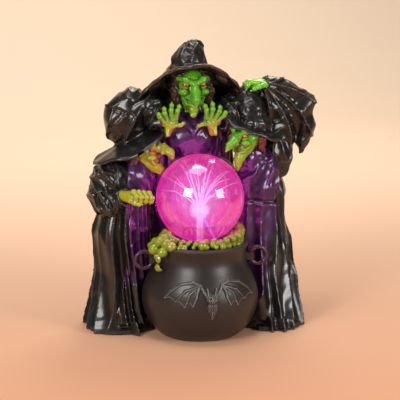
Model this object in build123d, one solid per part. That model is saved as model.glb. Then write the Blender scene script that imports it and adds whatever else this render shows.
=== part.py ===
from build123d import *
from math import cos, radians, sin, sqrt, tan
import os

os.makedirs("parts", exist_ok=True)

# Table-top group of three witches round a cauldron with a lit plasma globe.
# Millimetres, +Z up, front is -Y. Origin: centre of the footprint, on the table.

# ---------------------------------------------------------------- driving sizes
GLUE = 0.15          # glue line between neighbouring castings
FIT = 0.05           # radial clearance of a screw or a running fit
PLAY = 0.30          # clearance round a piece that drops into a recess

POT_X, POT_Y = -6.0, -28.0      # axis of the cauldron and the globe
FOOT_R = 31.0                   # flat foot of the cauldron
BELLY_R, BELLY_Z = 50.0, 38.0
NECK_R, NECK_Z = 39.6, 68.0
LIP_R, LIP_Z = 41.6, 81.0
POT_WALL = 5.0
POT_FLOOR = 6.0
LEDGE_R, LEDGE_Z = 32.0, 74.0   # ledge inside the neck that carries the socket
SEAT_R = 36.8                   # counterbore above the ledge

GLOBE_R = 40.0                  # plasma globe, 3-inch class
GLOBE_Z = 118.9
GLOBE_WALL = 1.6
GLOBE_NECK_R = 9.0
GLOBE_NECK_L = 15.0             # neck below the bottom of the sphere
POST_R = 4.0                    # glass electrode post in the globe
POST_HEAD_R = 6.5
POST_TOP_Z = 112.0

ROBE_WALL = 4.5                 # wall of the three hollow robe castings
ROBE_ROOM = 1.0                 # height of the hem rim under the base plate
PLATE_T = 3.0
PLATE_INSET = 7.0               # hem outline to plate outline

CELL_R, CELL_L = 7.25, 50.5     # AA cell
CELL_COUNT = 3
CELL_PITCH = 15.2
BOX_X, BOX_Y = -3.0, 47.6       # middle of the battery box
BOX_WALL = 1.6
BOX_END = 3.2                   # room for a spring or a contact at each end
DOOR_T = 2.4
HINGE_R = 1.3                   # barrel of the door hinge
HINGE_PIN_R = 0.7
HINGE_LEN = 34.0

PANEL_Z = 34.0                  # height of the switch panel in the rear robe
PANEL_W, PANEL_H, PANEL_T = 42.0, 16.0, 2.2
KNOB_W, KNOB_H, KNOB_TRAVEL = 4.0, 2.6, 2.0
JACK_R, JACK_BORE_R = 3.9, 2.8

BOARD_R, BOARD_Z, BOARD_T = 27.5, 45.0, 1.6
TRAY_T = 3.0
M2_R, M2_HEAD_R = 1.0, 1.9
M3_R, M3_HEAD_R = 1.4, 2.6

RING_R, RING_TUBE = 7.2, 1.8    # cauldron handle rings
RING_Z = 68.0
RING_FORWARD = 6.0              # rings stand this far in front of the cauldron's axis
BAT_RELIEF = 1.4

HEAD_GROW = GLUE


# ---------------------------------------------------------------- basic shapes
def ellipsoid(x, y, z, rx, ry, rz, grow=0.0):
    unit = Sphere(1.0)
    return Pos(x, y, z) * scale(unit, by=(rx + grow, ry + grow, rz + grow))


def limb(start, end, start_r, end_r, grow=0.0):
    """Tapered limb with round ends, from one point to another."""
    axis = Vector(*end) - Vector(*start)
    low = start_r + grow
    high = end_r + grow
    core = Plane(origin=start, z_dir=axis) * Cone(
        low, high, axis.length, align=(Align.CENTER, Align.CENTER, Align.MIN)
    )
    round_over = 1.03
    return core + Pos(*start) * Sphere(low * round_over) + Pos(*end) * Sphere(high * round_over)


def drape(sections, inset=0.0):
    """Smooth casting through rounded sections: x, y, z, width, depth, corner radius."""
    faces = []
    for x, y, z, width, depth, corner in sections:
        outline = RectangleRounded(width - 2 * inset, depth - 2 * inset, corner - inset)
        faces.append(Pos(x, y, z) * outline)
    return loft(faces)


def box(x0, x1, y0, y1, z0, z1):
    size = (x1 - x0, y1 - y0, z1 - z0)
    return Pos((x0 + x1) / 2, (y0 + y1) / 2, (z0 + z1) / 2) * Box(*size)


def post(x, y, z, radius, height):
    """Upright cylinder standing on height z."""
    return Pos(x, y, z) * Cylinder(radius, height, align=(Align.CENTER, Align.CENTER, Align.MIN))


def save(name, *solids):
    shape = solids[0] if len(solids) == 1 else Compound(children=[s for s in solids])
    export_step(shape, f"parts/{name}.step")


def around(count, radius, start=0.0):
    """Points evenly round the cauldron's axis."""
    for i in range(count):
        angle = radians(start + 360.0 * i / count)
        yield POT_X + radius * cos(angle), POT_Y + radius * sin(angle)


def biggest(shape):
    return max(shape.solids(), key=lambda s: s.volume)


# ---------------------------------------------------------------- cauldron
def turned(points_line, points_curve, top_line):
    """Solid turned round the cauldron's axis from an outline in the XZ plane."""
    edges = [Line(points_line[0], points_line[1]), Spline(*points_curve)]
    corners = [points_curve[-1]] + top_line + [points_line[0]]
    edges += [Line(a, b) for a, b in zip(corners, corners[1:])]
    return Pos(POT_X, POT_Y, 0) * revolve(Plane.XZ * make_face(edges), axis=Axis.Z)


def pot_body(grow=0.0, top=LIP_Z):
    """Outer envelope of the cauldron, grown outwards."""
    curve = [
        (FOOT_R + grow, 0),
        (BELLY_R * 0.885 + grow, BELLY_Z * 0.33),
        (BELLY_R + grow, BELLY_Z),
        (NECK_R + (BELLY_R - NECK_R) * 0.36 + grow, BELLY_Z + (NECK_Z - BELLY_Z) * 0.62),
        (NECK_R + grow, NECK_Z),
        (NECK_R + grow + 0.3, NECK_Z + 6),
        (LIP_R + grow, top - 1.5),
    ]
    return turned([(0, 0), (FOOT_R + grow, 0)], curve, [(LIP_R + grow - 1.0, top), (0, top)])


def pot_hollow():
    curve = [
        (FOOT_R - POT_WALL, POT_FLOOR),
        (BELLY_R * 0.87 - POT_WALL, BELLY_Z * 0.42),
        (BELLY_R - POT_WALL, BELLY_Z),
        (NECK_R + (BELLY_R - NECK_R) * 0.36 - POT_WALL, BELLY_Z + (NECK_Z - BELLY_Z) * 0.62),
        (LEDGE_R, NECK_Z - 1.0),
    ]
    cavity = turned(
        [(0, POT_FLOOR), (FOOT_R - POT_WALL, POT_FLOOR)], curve, [(LEDGE_R, LEDGE_Z), (0, LEDGE_Z)]
    )
    return cavity + post(POT_X, POT_Y, LEDGE_Z, SEAT_R, 20) + post(POT_X, POT_Y, NECK_Z - 2, LEDGE_R, 7)


def ring_place(side):
    """Middle of a handle ring, in a plane that faces the front."""
    return POT_X + side * (NECK_R + RING_R + RING_TUBE + 1.2), POT_Y - RING_FORWARD, RING_Z


def ring(side, grow=0.0):
    x, y, z = ring_place(side)
    return Pos(x, y, z) * Rot(90, 0, 0) * Torus(RING_R, RING_TUBE + grow)


def ring_lug(side, grow=0.0):
    x, y, z = ring_place(side)
    inner = POT_X + side * (NECK_R - 2.5)
    outer = x - side * (RING_R - RING_TUBE - 1.0 - grow)
    low, high = sorted((inner, outer))
    return box(low, high, y - 3.2 - grow, y + 3.2 + grow, z - 3.0 - grow, z + 3.0 + grow)


WIRE_HOLE_R = 5.0
WIRE_HOLE_Z = 30.0
TRAY_SCREW_R = (LEDGE_R + SEAT_R) / 2
BOARD_SCREW_R = BOARD_R - 4.0


def wire_passage(grow=0.0):
    """Passage for the supply leads, from the cauldron back into the rear robe."""
    length = BELLY_R + 8
    tube = Cylinder(WIRE_HOLE_R + grow, length, align=(Align.CENTER, Align.CENTER, Align.MIN))
    return Pos(POT_X, POT_Y, WIRE_HOLE_Z) * Rot(-90, 0, 0) * tube


pot = pot_body() + ring_lug(-1) + ring_lug(1) - pot_hollow() - wire_passage()
for side in (-1, 1):
    pot -= ring(side, FIT)
for x, y in around(3, TRAY_SCREW_R, 30):
    pot -= post(x, y, LEDGE_Z - 7, M2_R + FIT, 8)
save("cauldron", biggest(pot))
save("cauldron_ring_left", ring(-1))
save("cauldron_ring_right", ring(1))


def bat_half():
    """Right half of a spread bat; x across and z up, from the head's middle."""
    wing = [
        Line((0, 9.0), (2.2, 7.0)),
        Line((2.2, 7.0), (4.4, 11.0)),
        Line((4.4, 11.0), (6.4, 5.6)),
        ThreePointArc((6.4, 5.6), (8.4, 10.0), (11.5, 13.2)),
        Line((11.5, 13.2), (13.2, 16.0)),
        ThreePointArc((13.2, 16.0), (28.0, 14.0), (38.5, 3.0)),
        ThreePointArc((38.5, 3.0), (32.0, 1.6), (26.5, -2.6)),
        ThreePointArc((26.5, -2.6), (23.0, -1.7), (19.6, -3.6)),
        ThreePointArc((19.6, -3.6), (16.8, 0.6), (12.8, 3.0)),
        ThreePointArc((12.8, 3.0), (9.2, -2.2), (4.6, -6.4)),
        Line((4.6, -6.4), (0, -14.5)),
        Line((0, -14.5), (0, 9.0)),
    ]
    return make_face(wing)


BAT_X, BAT_Z = POT_X + 1.0, 38.5


def bat_relief():
    reach = 2 * BELLY_R
    half = extrude(Plane.XZ * Pos(0, BAT_Z) * bat_half(), amount=reach, both=True)
    prism = Pos(BAT_X, 0, 0) * (half + mirror(half, about=Plane.YZ))
    front = box(-200, 200, POT_Y - reach, POT_Y, 0, LIP_Z)
    return biggest(prism & front & (pot_body(BAT_RELIEF) - pot_body(FIT)))


save("bat_relief", bat_relief())


# ---------------------------------------------------------------- globe and its driver
def globe_room(grow=0.5):
    return Pos(POT_X, POT_Y, GLOBE_Z) * Sphere(GLOBE_R + grow)


GLOBE_LOW = GLOBE_Z - GLOBE_R
NECK_BOTTOM = GLOBE_LOW - GLOBE_NECK_L
COLLAR_R = GLOBE_NECK_R + 3.0

globe_outer = Pos(POT_X, POT_Y, GLOBE_Z) * Sphere(GLOBE_R)
globe_outer += post(POT_X, POT_Y, NECK_BOTTOM, GLOBE_NECK_R, GLOBE_NECK_L + 3)
globe_inner = Pos(POT_X, POT_Y, GLOBE_Z) * Sphere(GLOBE_R - GLOBE_WALL)
globe_inner += post(POT_X, POT_Y, NECK_BOTTOM - 1, GLOBE_NECK_R - GLOBE_WALL, GLOBE_NECK_L + 5)
save("globe_glass", globe_outer - globe_inner)

stem_r = GLOBE_NECK_R - GLOBE_WALL - FIT
stem = post(POT_X, POT_Y, NECK_BOTTOM, stem_r, 5)
electrode = stem + post(POT_X, POT_Y, NECK_BOTTOM, POST_R, POST_TOP_Z - NECK_BOTTOM - POST_HEAD_R)
electrode += Pos(POT_X, POT_Y, POST_TOP_Z - POST_HEAD_R) * Sphere(POST_HEAD_R)
core_low = NECK_BOTTOM + 2
core_r = POST_R - 1.5
electrode -= post(POT_X, POT_Y, core_low, core_r + FIT, POST_TOP_Z - core_low - 4)
electrode -= post(POT_X, POT_Y, NECK_BOTTOM - 1, 0.8, 4)
save("electrode_post", electrode)
core_h = POST_TOP_Z - core_low - 5
save("electrode_core", post(POT_X, POT_Y, core_low + FIT, core_r, core_h))

tray_low = LEDGE_Z
tray_top = LEDGE_Z + TRAY_T
tray = post(POT_X, POT_Y, tray_low, SEAT_R - PLAY, TRAY_T)
tray += post(POT_X, POT_Y, NECK_BOTTOM - 2, COLLAR_R, tray_top - NECK_BOTTOM + 2)
tray -= post(POT_X, POT_Y, NECK_BOTTOM, GLOBE_NECK_R + FIT, GLOBE_NECK_L + 5)
tray -= post(POT_X, POT_Y, NECK_BOTTOM - 3, 2.0, 5)
standoff_low = BOARD_Z + BOARD_T
for x, y in around(3, BOARD_SCREW_R, 60):
    tray += post(x, y, standoff_low, 3.0, tray_low - standoff_low + 1)
    tray -= post(x, y, standoff_low - 1, M2_R + FIT, 7)
for x, y in around(3, TRAY_SCREW_R, 30):
    tray -= post(x, y, tray_low - 1, M2_R + 0.2, TRAY_T + 2)
save("globe_socket", biggest(tray))


def screw(x, y, z, radius, head_r, length, head_h=1.4):
    """Screw pointing down: underside of the head at height z."""
    return post(x, y, z, head_r, head_h) + post(x, y, z - length, radius, length)


def screw_up(x, y, z, radius, head_r, length, head_h=1.4):
    """Screw pointing up: upper side of the head at height z."""
    return post(x, y, z - head_h, head_r, head_h) + post(x, y, z, radius, length)


save("socket_screws", *[screw(x, y, tray_top, M2_R, M2_HEAD_R, 8) for x, y in around(3, TRAY_SCREW_R, 30)])

gasket = post(POT_X, POT_Y, tray_top, 22.0, 6.5) - post(POT_X, POT_Y, tray_top - 1, GLOBE_NECK_R + 1, 9)
save("globe_gasket", gasket - globe_room(FIT))

board = post(POT_X, POT_Y, BOARD_Z, BOARD_R, BOARD_T)
for x, y in around(3, BOARD_SCREW_R, 60):
    board -= post(x, y, BOARD_Z - 1, M2_R + 0.2, BOARD_T + 2)
save("driver_board", board)
save("board_screws", *[screw_up(x, y, BOARD_Z, M2_R, M2_HEAD_R, 7) for x, y in around(3, BOARD_SCREW_R, 60)])

TRAFO_X, TRAFO_Y = POT_X + 6.0, POT_Y - 9.0
TRAFO_W, TRAFO_D, TRAFO_H = 20.0, 16.0, 17.0
trafo = box(
    TRAFO_X - TRAFO_W / 2, TRAFO_X + TRAFO_W / 2,
    TRAFO_Y - TRAFO_D / 2, TRAFO_Y + TRAFO_D / 2, BOARD_Z - TRAFO_H, BOARD_Z,
)
save("flyback_transformer", fillet(trafo.edges().filter_by(Axis.Z), 2.0))

caps = [post(POT_X - 15 + 9 * i, POT_Y + 10, BOARD_Z - 11 + i, 3.2, 11 - i) for i in range(3)]
save("board_capacitors", *caps)
save("power_transistor", box(POT_X - 21, POT_X - 11, POT_Y - 8, POT_Y - 3.5, BOARD_Z - 15, BOARD_Z))
heat_sink = box(POT_X - 23, POT_X - 9, POT_Y - 11.0, POT_Y - 8.0, BOARD_Z - 16, BOARD_Z)
for i in range(4):
    fin_x = POT_X - 21.8 + 3.6 * i
    heat_sink += box(fin_x - 0.6, fin_x + 0.6, POT_Y - 15.0, POT_Y - 10.5, BOARD_Z - 16, BOARD_Z)
save("heat_sink", heat_sink)


# ---------------------------------------------------------------- internal wires
def wire(points, wire_r, name):
    """Wire along straight runs joined by arcs; prints each arc's radius."""
    corners = [Vector(*p) for p in points]
    radii = []
    for before, at, after in zip(corners, corners[1:], corners[2:]):
        turn = (at - before).get_angle(after - at)
        run = min((at - before).length, (after - at).length)
        radii.append(0.45 * run / tan(radians(turn) / 2))
    print(name, "arc radii", [round(r, 1) for r in radii])
    path = FilletPolyline(*points, radius=radii)
    start = Plane(origin=path @ 0, z_dir=path % 0)
    return sweep(start * Circle(wire_r), path)


HV_WIRE_R = 0.6
hv_rise = (NECK_BOTTOM + 2 - standoff_low) / 2
hv_run = 12.0
hv_points = [
    (POT_X + hv_run, POT_Y, standoff_low),
    (POT_X + hv_run, POT_Y, standoff_low + hv_rise),
    (POT_X, POT_Y, standoff_low + hv_rise),
    (POT_X, POT_Y, core_low),
]
hv_lead = wire(hv_points, HV_WIRE_R, "high_voltage_lead")
save("high_voltage_lead", hv_lead)


# ---------------------------------------------------------------- robe castings
REAR_ROBE = [
    (-3, 43.0, 0, 116, 74, 30),
    (-3, 42.6, 42, 106, 70, 29),
    (-4, 41.0, 100, 92, 60, 26),
    (-5, 33.0, 150, 84, 54, 24),
    (-6, 28.0, 176, 70, 42, 18),
    (-6, 25.0, 188, 40, 26, 10),
]
LEFT_ROBE = [
    (-71.5, 10, 0, 69, 86, 31),
    (-68.5, 10, 42, 52, 68, 24),
    (-68.5, 9, 86, 54, 60, 24),
    (-63, 8, 118, 48, 50, 21),
    (-57, 7, 142, 30, 32, 13),
]
RIGHT_ROBE = [
    (58.5, 2, 0, 72, 94, 33),
    (54, 8, 42, 66, 70, 29),
    (53, 10, 80, 64, 60, 27),
    (52, 10, 112, 58, 56, 25),
    (53, 10, 140, 34, 36, 15),
]
PANEL_X = REAR_ROBE[1][0]
PANEL_Y = REAR_ROBE[1][1] + REAR_ROBE[1][4] / 2 - 0.6    # outer face of the switch panel


def hem_outline(inset):
    """Outline of the hollow under the three robes, clear of the cauldron's foot."""
    outline = Sketch()
    for x, y, _, width, depth, corner in (REAR_ROBE[0], LEFT_ROBE[0], RIGHT_ROBE[0]):
        outline += Pos(x, y) * RectangleRounded(width - 2 * inset, depth - 2 * inset, corner - inset)
    return outline - Pos(POT_X, POT_Y) * Circle(BELLY_R * 0.885 + inset)


def plate_prism(z0, z1, inset):
    return extrude(Pos(0, 0, z0) * hem_outline(inset), amount=z1 - z0)


plate_top = ROBE_ROOM + PLATE_T
plate_pocket = plate_prism(-1, plate_top, PLATE_INSET - PLAY)

BOX_IN_W = CELL_L + 2 * BOX_END
BOX_IN_D = CELL_PITCH * CELL_COUNT + 1.0
BOX_TOP = ROBE_ROOM + DOOR_T + 2 * CELL_R + 1.4 + BOX_WALL
box_x0, box_x1 = BOX_X - BOX_IN_W / 2, BOX_X + BOX_IN_W / 2
box_y0, box_y1 = BOX_Y - BOX_IN_D / 2, BOX_Y + BOX_IN_D / 2


def panel_box(grow, depth, inset=0.0):
    """Block in the rear wall round the switch panel, from its outer face inwards."""
    return box(
        PANEL_X - PANEL_W / 2 - grow + inset, PANEL_X + PANEL_W / 2 + grow - inset,
        PANEL_Y - depth, PANEL_Y + 20,
        PANEL_Z - PANEL_H / 2 - grow + inset, PANEL_Z + PANEL_H / 2 + grow - inset,
    )


def hollow(sections, top):
    """Inside of a robe casting, open below and closed at the given height."""
    return drape(sections, ROBE_WALL) & box(-200, 200, -200, 200, -50, top)


rear_outer = drape(REAR_ROBE)
left_outer = drape(LEFT_ROBE)
right_outer = drape(RIGHT_ROBE)
rear_room = drape(REAR_ROBE, -GLUE)
pot_room = pot_body(PLAY) + post(POT_X, POT_Y, LIP_Z - 2, LIP_R + PLAY, 26)
for side in (-1, 1):
    pot_room += ring_lug(side, PLAY)
pot_wall_room = pot_body(PLAY + 3.0) + post(POT_X, POT_Y, LIP_Z - 2, LIP_R + PLAY + 3.0, 29)
ball_room = globe_room()

PILLAR_R = 4.0
PILLAR_BITE = 2.0        # how far a pillar's middle stands from the inside of the wall


def wall_point(section, side, y):
    """Middle of a pillar beside the left (-1) or right (1) wall at a section."""
    return section[0] + side * (section[3] / 2 - ROBE_WALL - PILLAR_BITE), y


def corner_point(section, side):
    """Middle of a pillar in a rear corner at a section."""
    reach = section[5] - ROBE_WALL - PILLAR_BITE + 1.5
    x = section[0] + side * (section[3] / 2 - section[5] + reach / sqrt(2))
    return x, section[1] + section[4] / 2 - section[5] + reach / sqrt(2)


PILLARS = {
    "rear": [wall_point(REAR_ROBE[1], side, 30) for side in (-1, 1)]
    + [corner_point(REAR_ROBE[1], side) for side in (-1, 1)],
    "left": [wall_point(LEFT_ROBE[1], -1, 12)],
    "right": [wall_point(RIGHT_ROBE[1], 1, 10)],
}
ALL_PILLARS = [place for places in PILLARS.values() for place in places]


def with_pillars(cast, who, bounds):
    """Casting with its bored screw pillars, which hang down to the base plate."""
    for x, y in PILLARS[who]:
        cast += post(x, y, plate_top, PILLAR_R, 46) & bounds
    for x, y in PILLARS[who]:
        cast -= post(x, y, plate_top - 1, M3_R + FIT, 11)
    return biggest(cast)


# Heads: skull, nose, chin and neck in one casting; the neck stands in the robe.
HEADS = {
    "rear": dict(
        skull=(-6, 13, 206, 14.5, 15, 17),
        nose=((-6, 1, 207), (-6, -11, 197), 4.0, 1.8),
        chin=((-6, 4, 196), (-8, 1, 186.5), 8.5, 3.0),
        neck=((-6, 17, 198), (-6, 22, 172), 9.0, 10.0),
    ),
    "left": dict(
        skull=(-49, -2, 155, 12.5, 13, 14.5),
        nose=((-41, -10, 158), (-30, -18.5, 153), 4.2, 1.8),
        chin=((-44, -6, 148), (-37, -3.5, 139.5), 7.5, 2.6),
        neck=((-51.5, 1.5, 149), (-57, 6.5, 127), 8.4, 10.2),
    ),
    "right": dict(
        skull=(40, -3, 164, 13, 13, 15.5),
        nose=((31, -10, 166), (17, -15.5, 159.3), 4.6, 1.7),
        chin=((35, -8, 154), (29, -12, 143), 7.0, 2.5),
        neck=((44, 2, 158), (52, 9, 128), 9.0, 10.0),
    ),
}


def head(who, grow=0.0, part=("skull", "nose", "chin", "neck")):
    data = HEADS[who]
    shape = ellipsoid(*data["skull"], grow)
    for key in part:
        if key != "skull":
            shape += limb(*data[key], grow)
    return shape


heads = {who: head(who) for who in HEADS}
head_rooms = {who: head(who, HEAD_GROW) for who in HEADS}

# Gown fronts are split from the robe along flat faces.
REAR_GOWN = box(-40, 30, -60, 25, 84, 200)
LEFT_GOWN = box(-61, -20, -80, 4, 44, 160)
RIGHT_GOWN = box(0, 74, -80, 6, 44, 160)

rear_cast = rear_outer - pot_room - ball_room - (hollow(REAR_ROBE, 150) - pot_wall_room) - plate_pocket
rear_cast -= head_rooms["rear"]
rear_cast -= wire_passage(PLAY)
rear_gown = biggest(rear_cast & REAR_GOWN)
rear_robe = biggest(rear_cast - REAR_GOWN)
rear_robe = with_pillars(rear_robe, "rear", rear_outer)
panel_back = PANEL_T + 0.2
rear_robe -= panel_box(PLAY, panel_back)
rear_robe -= panel_box(0, 9, 3.0)
rear_robe -= box(
    box_x0 - BOX_WALL - 1, box_x1 + BOX_WALL + 1, box_y0 - BOX_WALL - 1, box_y1 + BOX_WALL + 1, -1, BOX_TOP + 1
) & hollow(REAR_ROBE, 60)
for side in (-1, 1):
    screw_x = PANEL_X + side * (PANEL_W / 2 - 3.0)
    shank = Cylinder(M2_R + FIT, 12)
    rear_robe -= Pos(screw_x, PANEL_Y - 1, PANEL_Z) * Rot(90, 0, 0) * shank
save("rear_robe", biggest(rear_robe))
save("rear_gown", rear_gown)


def side_robe(outer, sections, gown_box, who, top):
    """Hollow side casting against the rear robe, split into gown front and cloak."""
    cast = outer - rear_room - pot_room - ball_room - (hollow(sections, top) - pot_wall_room)
    cast = cast - plate_pocket - head_rooms[who]
    for side in (-1, 1):
        cast -= ring(side, PLAY)
    gown = biggest(cast & gown_box)
    cloak = biggest(cast - gown_box)
    return gown, with_pillars(cloak, who, outer - rear_room)


left_gown, left_cloak = side_robe(left_outer, LEFT_ROBE, LEFT_GOWN, "left", 112)
right_gown, right_cloak = side_robe(right_outer, RIGHT_ROBE, RIGHT_GOWN, "right", 108)
save("left_gown", left_gown)
save("left_cloak", left_cloak)
save("right_gown", right_gown)
save("right_cloak", right_cloak)
for who in HEADS:
    save(f"{who}_head", biggest(heads[who] - ball_room))


# ---------------------------------------------------------------- hats
def hat_brim(width, depth, droop, thick, grow=0.0):
    """Brim that arches across and is oval in plan, middle of its crest at the origin."""
    half = width / 2
    top = ThreePointArc((-half, -droop), (0, 0), (half, -droop))
    low = ThreePointArc((-half, -droop - thick), (0, -thick), (half, -droop - thick))
    band = make_face([top, low, Line(top @ 0, low @ 0), Line(top @ 1, low @ 1)])
    arch = extrude(Plane.XZ * band, amount=depth, both=True)
    plan = extrude(Pos(0, 0, -200) * Ellipse(half - 0.5 + grow, depth / 2 + grow), amount=400)
    return arch & plan


HATS = {
    "rear": dict(
        place=(-7, 22, 224), turn=(-14, 1.5, 0), brim=(95, 64, 24, 3.5),
        crown=[((0, 3, -4), (1, 3, 9), 20, 11), ((1, 3, 9), (6, 2, 23), 10.5, 3.0)],
    ),
    "left": dict(
        place=(-62, 14, 166), turn=(4, -20, 12), brim=(68, 56, 6, 3.2),
        crown=[((0, 2, -2), (-3, 4, 22), 19, 15.5), ((-3, 4, 24), (12, 2, 33), 13, 9)],
    ),
    "right": dict(
        place=(46, 5, 179), turn=(2, 16, -8), brim=(56, 50, 5, 3.0),
        crown=[((0, 2, -2), (-4, 5, 17), 16, 9.5), ((-4, 5, 17), (-5, 8, 27), 9, 6)],
    ),
}


def hat(who):
    data = HATS[who]
    shape = hat_brim(*data["brim"])
    for start, end, start_r, end_r in data["crown"]:
        shape += limb(start, end, start_r, end_r)
    low = box(-100, 100, -100, 100, -60, -14)
    if who != "rear":
        shape -= low
    return Pos(*data["place"]) * Rot(*data["turn"]) * shape


hats = {}
for who in HEADS:
    hats[who] = biggest(hat(who) - head_rooms[who])
hats["rear"] = biggest(hats["rear"] - rear_room)
hats["left"] = biggest(hats["left"] - rear_room - left_outer)
hats["right"] = biggest(hats["right"] - rear_room - right_outer)
save("rear_hat", hats["rear"])

# Hair: a shell over the back and sides of each skull.
HAIR_GROW = 2.6
hair_cut = {
    "rear": box(-60, 60, -40, 7, 150, 260),
    "left": Pos(-49, -2, 155) * Rot(0, 0, 30) * box(-6, 60, -60, 60, -40, 60),
    "right": Pos(40, -3, 164) * Rot(0, 0, -30) * box(-60, 6, -60, 60, -40, 60),
}
hairs = {}
for who in HEADS:
    x, y, z, *radii = HEADS[who]["skull"]
    shell = ellipsoid(x, y, z, *radii, HAIR_GROW) & box(-200, 200, -200, 200, z - radii[2] + 2, z + radii[2] + 4)
    hairs[who] = shell - head_rooms[who] - hair_cut[who]


# ---------------------------------------------------------------- sleeves and hands
def rear_hand(side, grow=0.0):
    """Raised open hand: forearm end, palm, four fingers and a thumb."""
    middle = POT_X - 3.2
    wrist = (middle + side * 19.5, 2, 175)
    palm = (middle + side * 18.5, -3, 182)
    shape = limb(wrist, palm, 4.2 + grow, 5.6 + grow)
    tips = [(10.0, -8, 198), (17.0, -9, 201), (25.0, -8, 197), (31.5, -6, 190.5)]
    for across, y, z in tips:
        shape += limb((middle + side * (14 + across * 0.25), -4, 184), (middle + side * across, y, z),
                      2.4, 1.5, grow)
    shape += limb((middle + side * 16, -4, 180), (middle + side * 6, -8, 177.5), 2.4, 1.5, grow)
    return shape


def rear_sleeve(side):
    shoulder = (POT_X + side * 33, 21, 184)
    cuff = (POT_X - 3.2 + side * 22, 3, 178)
    return limb(shoulder, cuff, 15.5, 8.0)


hands = {"rear_left": rear_hand(-1), "rear_right": rear_hand(1)}


def left_fist(grow=0.0):
    return ellipsoid(-61.5, -27, 122, 12.5, 10.5, 7.2, grow)


def right_raised_hand(grow=0.0):
    shape = ellipsoid(54, 16, 210.5, 8.5, 8, 5, grow) + limb((68, 17, 209), (58, 16.5, 210), 5.2, 4.6, grow)
    for i in range(4):
        knuckle = (49.5 + 0.5 * abs(i - 1.5), 9.8 + 4.5 * i, 210.5)
        shape += limb(knuckle, (40.5 + i, 8.6 + 5.0 * i, 205.5 + i), 2.0, 1.4, grow)
    return shape


hands["left"] = left_fist()
hands["right"] = right_raised_hand()
hats["right"] = biggest(hats["right"] - right_raised_hand(GLUE))
hats["left"] = biggest(hats["left"] - left_fist(GLUE))

sleeve_rl = rear_sleeve(-1) - rear_hand(-1, GLUE)
sleeve_rr = rear_sleeve(1) - rear_hand(1, GLUE)
shared = rear_room + head_rooms["rear"]
sleeve_rl = biggest(sleeve_rl - shared - ball_room)
sleeve_rr = biggest(sleeve_rr - shared - ball_room)

left_sleeve = ellipsoid(-80, 8, 126, 17, 18, 24) + limb((-79, 2, 116), (-69, -18, 121), 12.5, 7.5)
left_sleeve = biggest(left_sleeve - left_fist(GLUE) - left_outer - rear_room - head_rooms["left"])
right_sleeve = limb((64, 17, 207), (92, 18, 182), 8, 14.5) + limb((92, 18, 182), (95, 17, 154), 13.5, 5.5)
right_sleeve += limb((88, 17, 182), (73, 13, 146), 15, 12) + ellipsoid(76, 17, 183, 17, 9, 20)
right_sleeve = right_sleeve - right_raised_hand(GLUE) - right_outer - rear_room - head_rooms["right"]
right_sleeve = biggest(right_sleeve - hats["right"])


save("rear_left_hand", hands["rear_left"])
save("rear_right_hand", hands["rear_right"])
save("left_fist", hands["left"])
save("right_raised_hand", hands["right"])
save("rear_left_sleeve", biggest(sleeve_rl - hats["rear"] - hats["left"]))
save("rear_right_sleeve", biggest(sleeve_rr - hats["rear"] - hats["right"]))
save("left_sleeve", biggest(left_sleeve - hats["left"]))
save("right_sleeve", right_sleeve)
left_hat = biggest(hats["left"] - hands["rear_left"] - head_rooms["rear"] - hats["rear"])
right_hat = biggest(hats["right"] - hands["rear_right"] - hats["rear"])
save("left_hat", left_hat)
save("right_hat", right_hat)
save("rear_hair", biggest(hairs["rear"] - hats["rear"] - (sleeve_rl + sleeve_rr)))
save("left_hair", biggest(hairs["left"] - hats["left"] - left_sleeve))
save("right_hair", biggest(hairs["right"] - hats["right"] - right_sleeve))


# ---------------------------------------------------------------- foam
FOAM_TOP = LIP_Z + 3.0
BUBBLE_R = 4.2
foam_ring_r = SEAT_R - 4.0
foam = post(POT_X, POT_Y, tray_top + 1.6, SEAT_R - 0.2, FOAM_TOP - tray_top - 1.6)
foam -= post(POT_X, POT_Y, tray_top, 23.0, 20)
foam += Pos(POT_X, POT_Y, FOAM_TOP) * Torus(foam_ring_r, BUBBLE_R)
save("brew_foam", biggest(foam))

OVERFLOW = [
    (-38.6, -47.6, 88.0, 3.6), (-38.2, -52.5, 83.5, 4.2), (-43.6, -46.3, 83.0, 4.6),
    (-43.0, -38.4, 88.0, 4.0), (-42.5, -30.5, 88.5, 3.4), (-49.2, -40.5, 80.0, 4.4),
    (-44.5, -49.0, 77.0, 4.2), (-46.2, -45.5, 71.0, 4.0), (-46.4, -43.8, 65.2, 3.8),
]
drip = None
for x, y, z, r in OVERFLOW:
    bubble = Pos(x, y, z) * Sphere(r)
    drip = bubble if drip is None else drip + bubble
drip = drip - pot_body(FIT) - globe_room(0.2) - ring(-1, FIT) - ring_lug(-1)
save("overflow_foam", biggest(drip - (foam & box(-60, 0, -80, 0, 60, 100)) - left_outer))


# ---------------------------------------------------------------- base plate and battery box
TAB_W, TAB_L = 11.0, 10.0        # screw tab at the free end of the battery door
TAB_X = box_x1 + BOX_WALL + TAB_L - 5.0
door_top = ROBE_ROOM + DOOR_T
hinge_x = box_x0 + PLAY + HINGE_R
hinge_z = ROBE_ROOM + HINGE_R
hinge_half = HINGE_LEN / 2
HINGE_LUG = 4.0


def hinge_bar(y0, y1, radius):
    return Pos(hinge_x, (y0 + y1) / 2, hinge_z) * Rot(90, 0, 0) * Cylinder(radius, y1 - y0)


def tab_block(grow, z0, z1):
    """Screw tab of the door, from inside the box out past its wall."""
    return box(
        box_x1 - 4, box_x1 + BOX_WALL + TAB_L + grow,
        BOX_Y - TAB_W / 2 - grow, BOX_Y + TAB_W / 2 + grow, z0, z1,
    )


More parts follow.
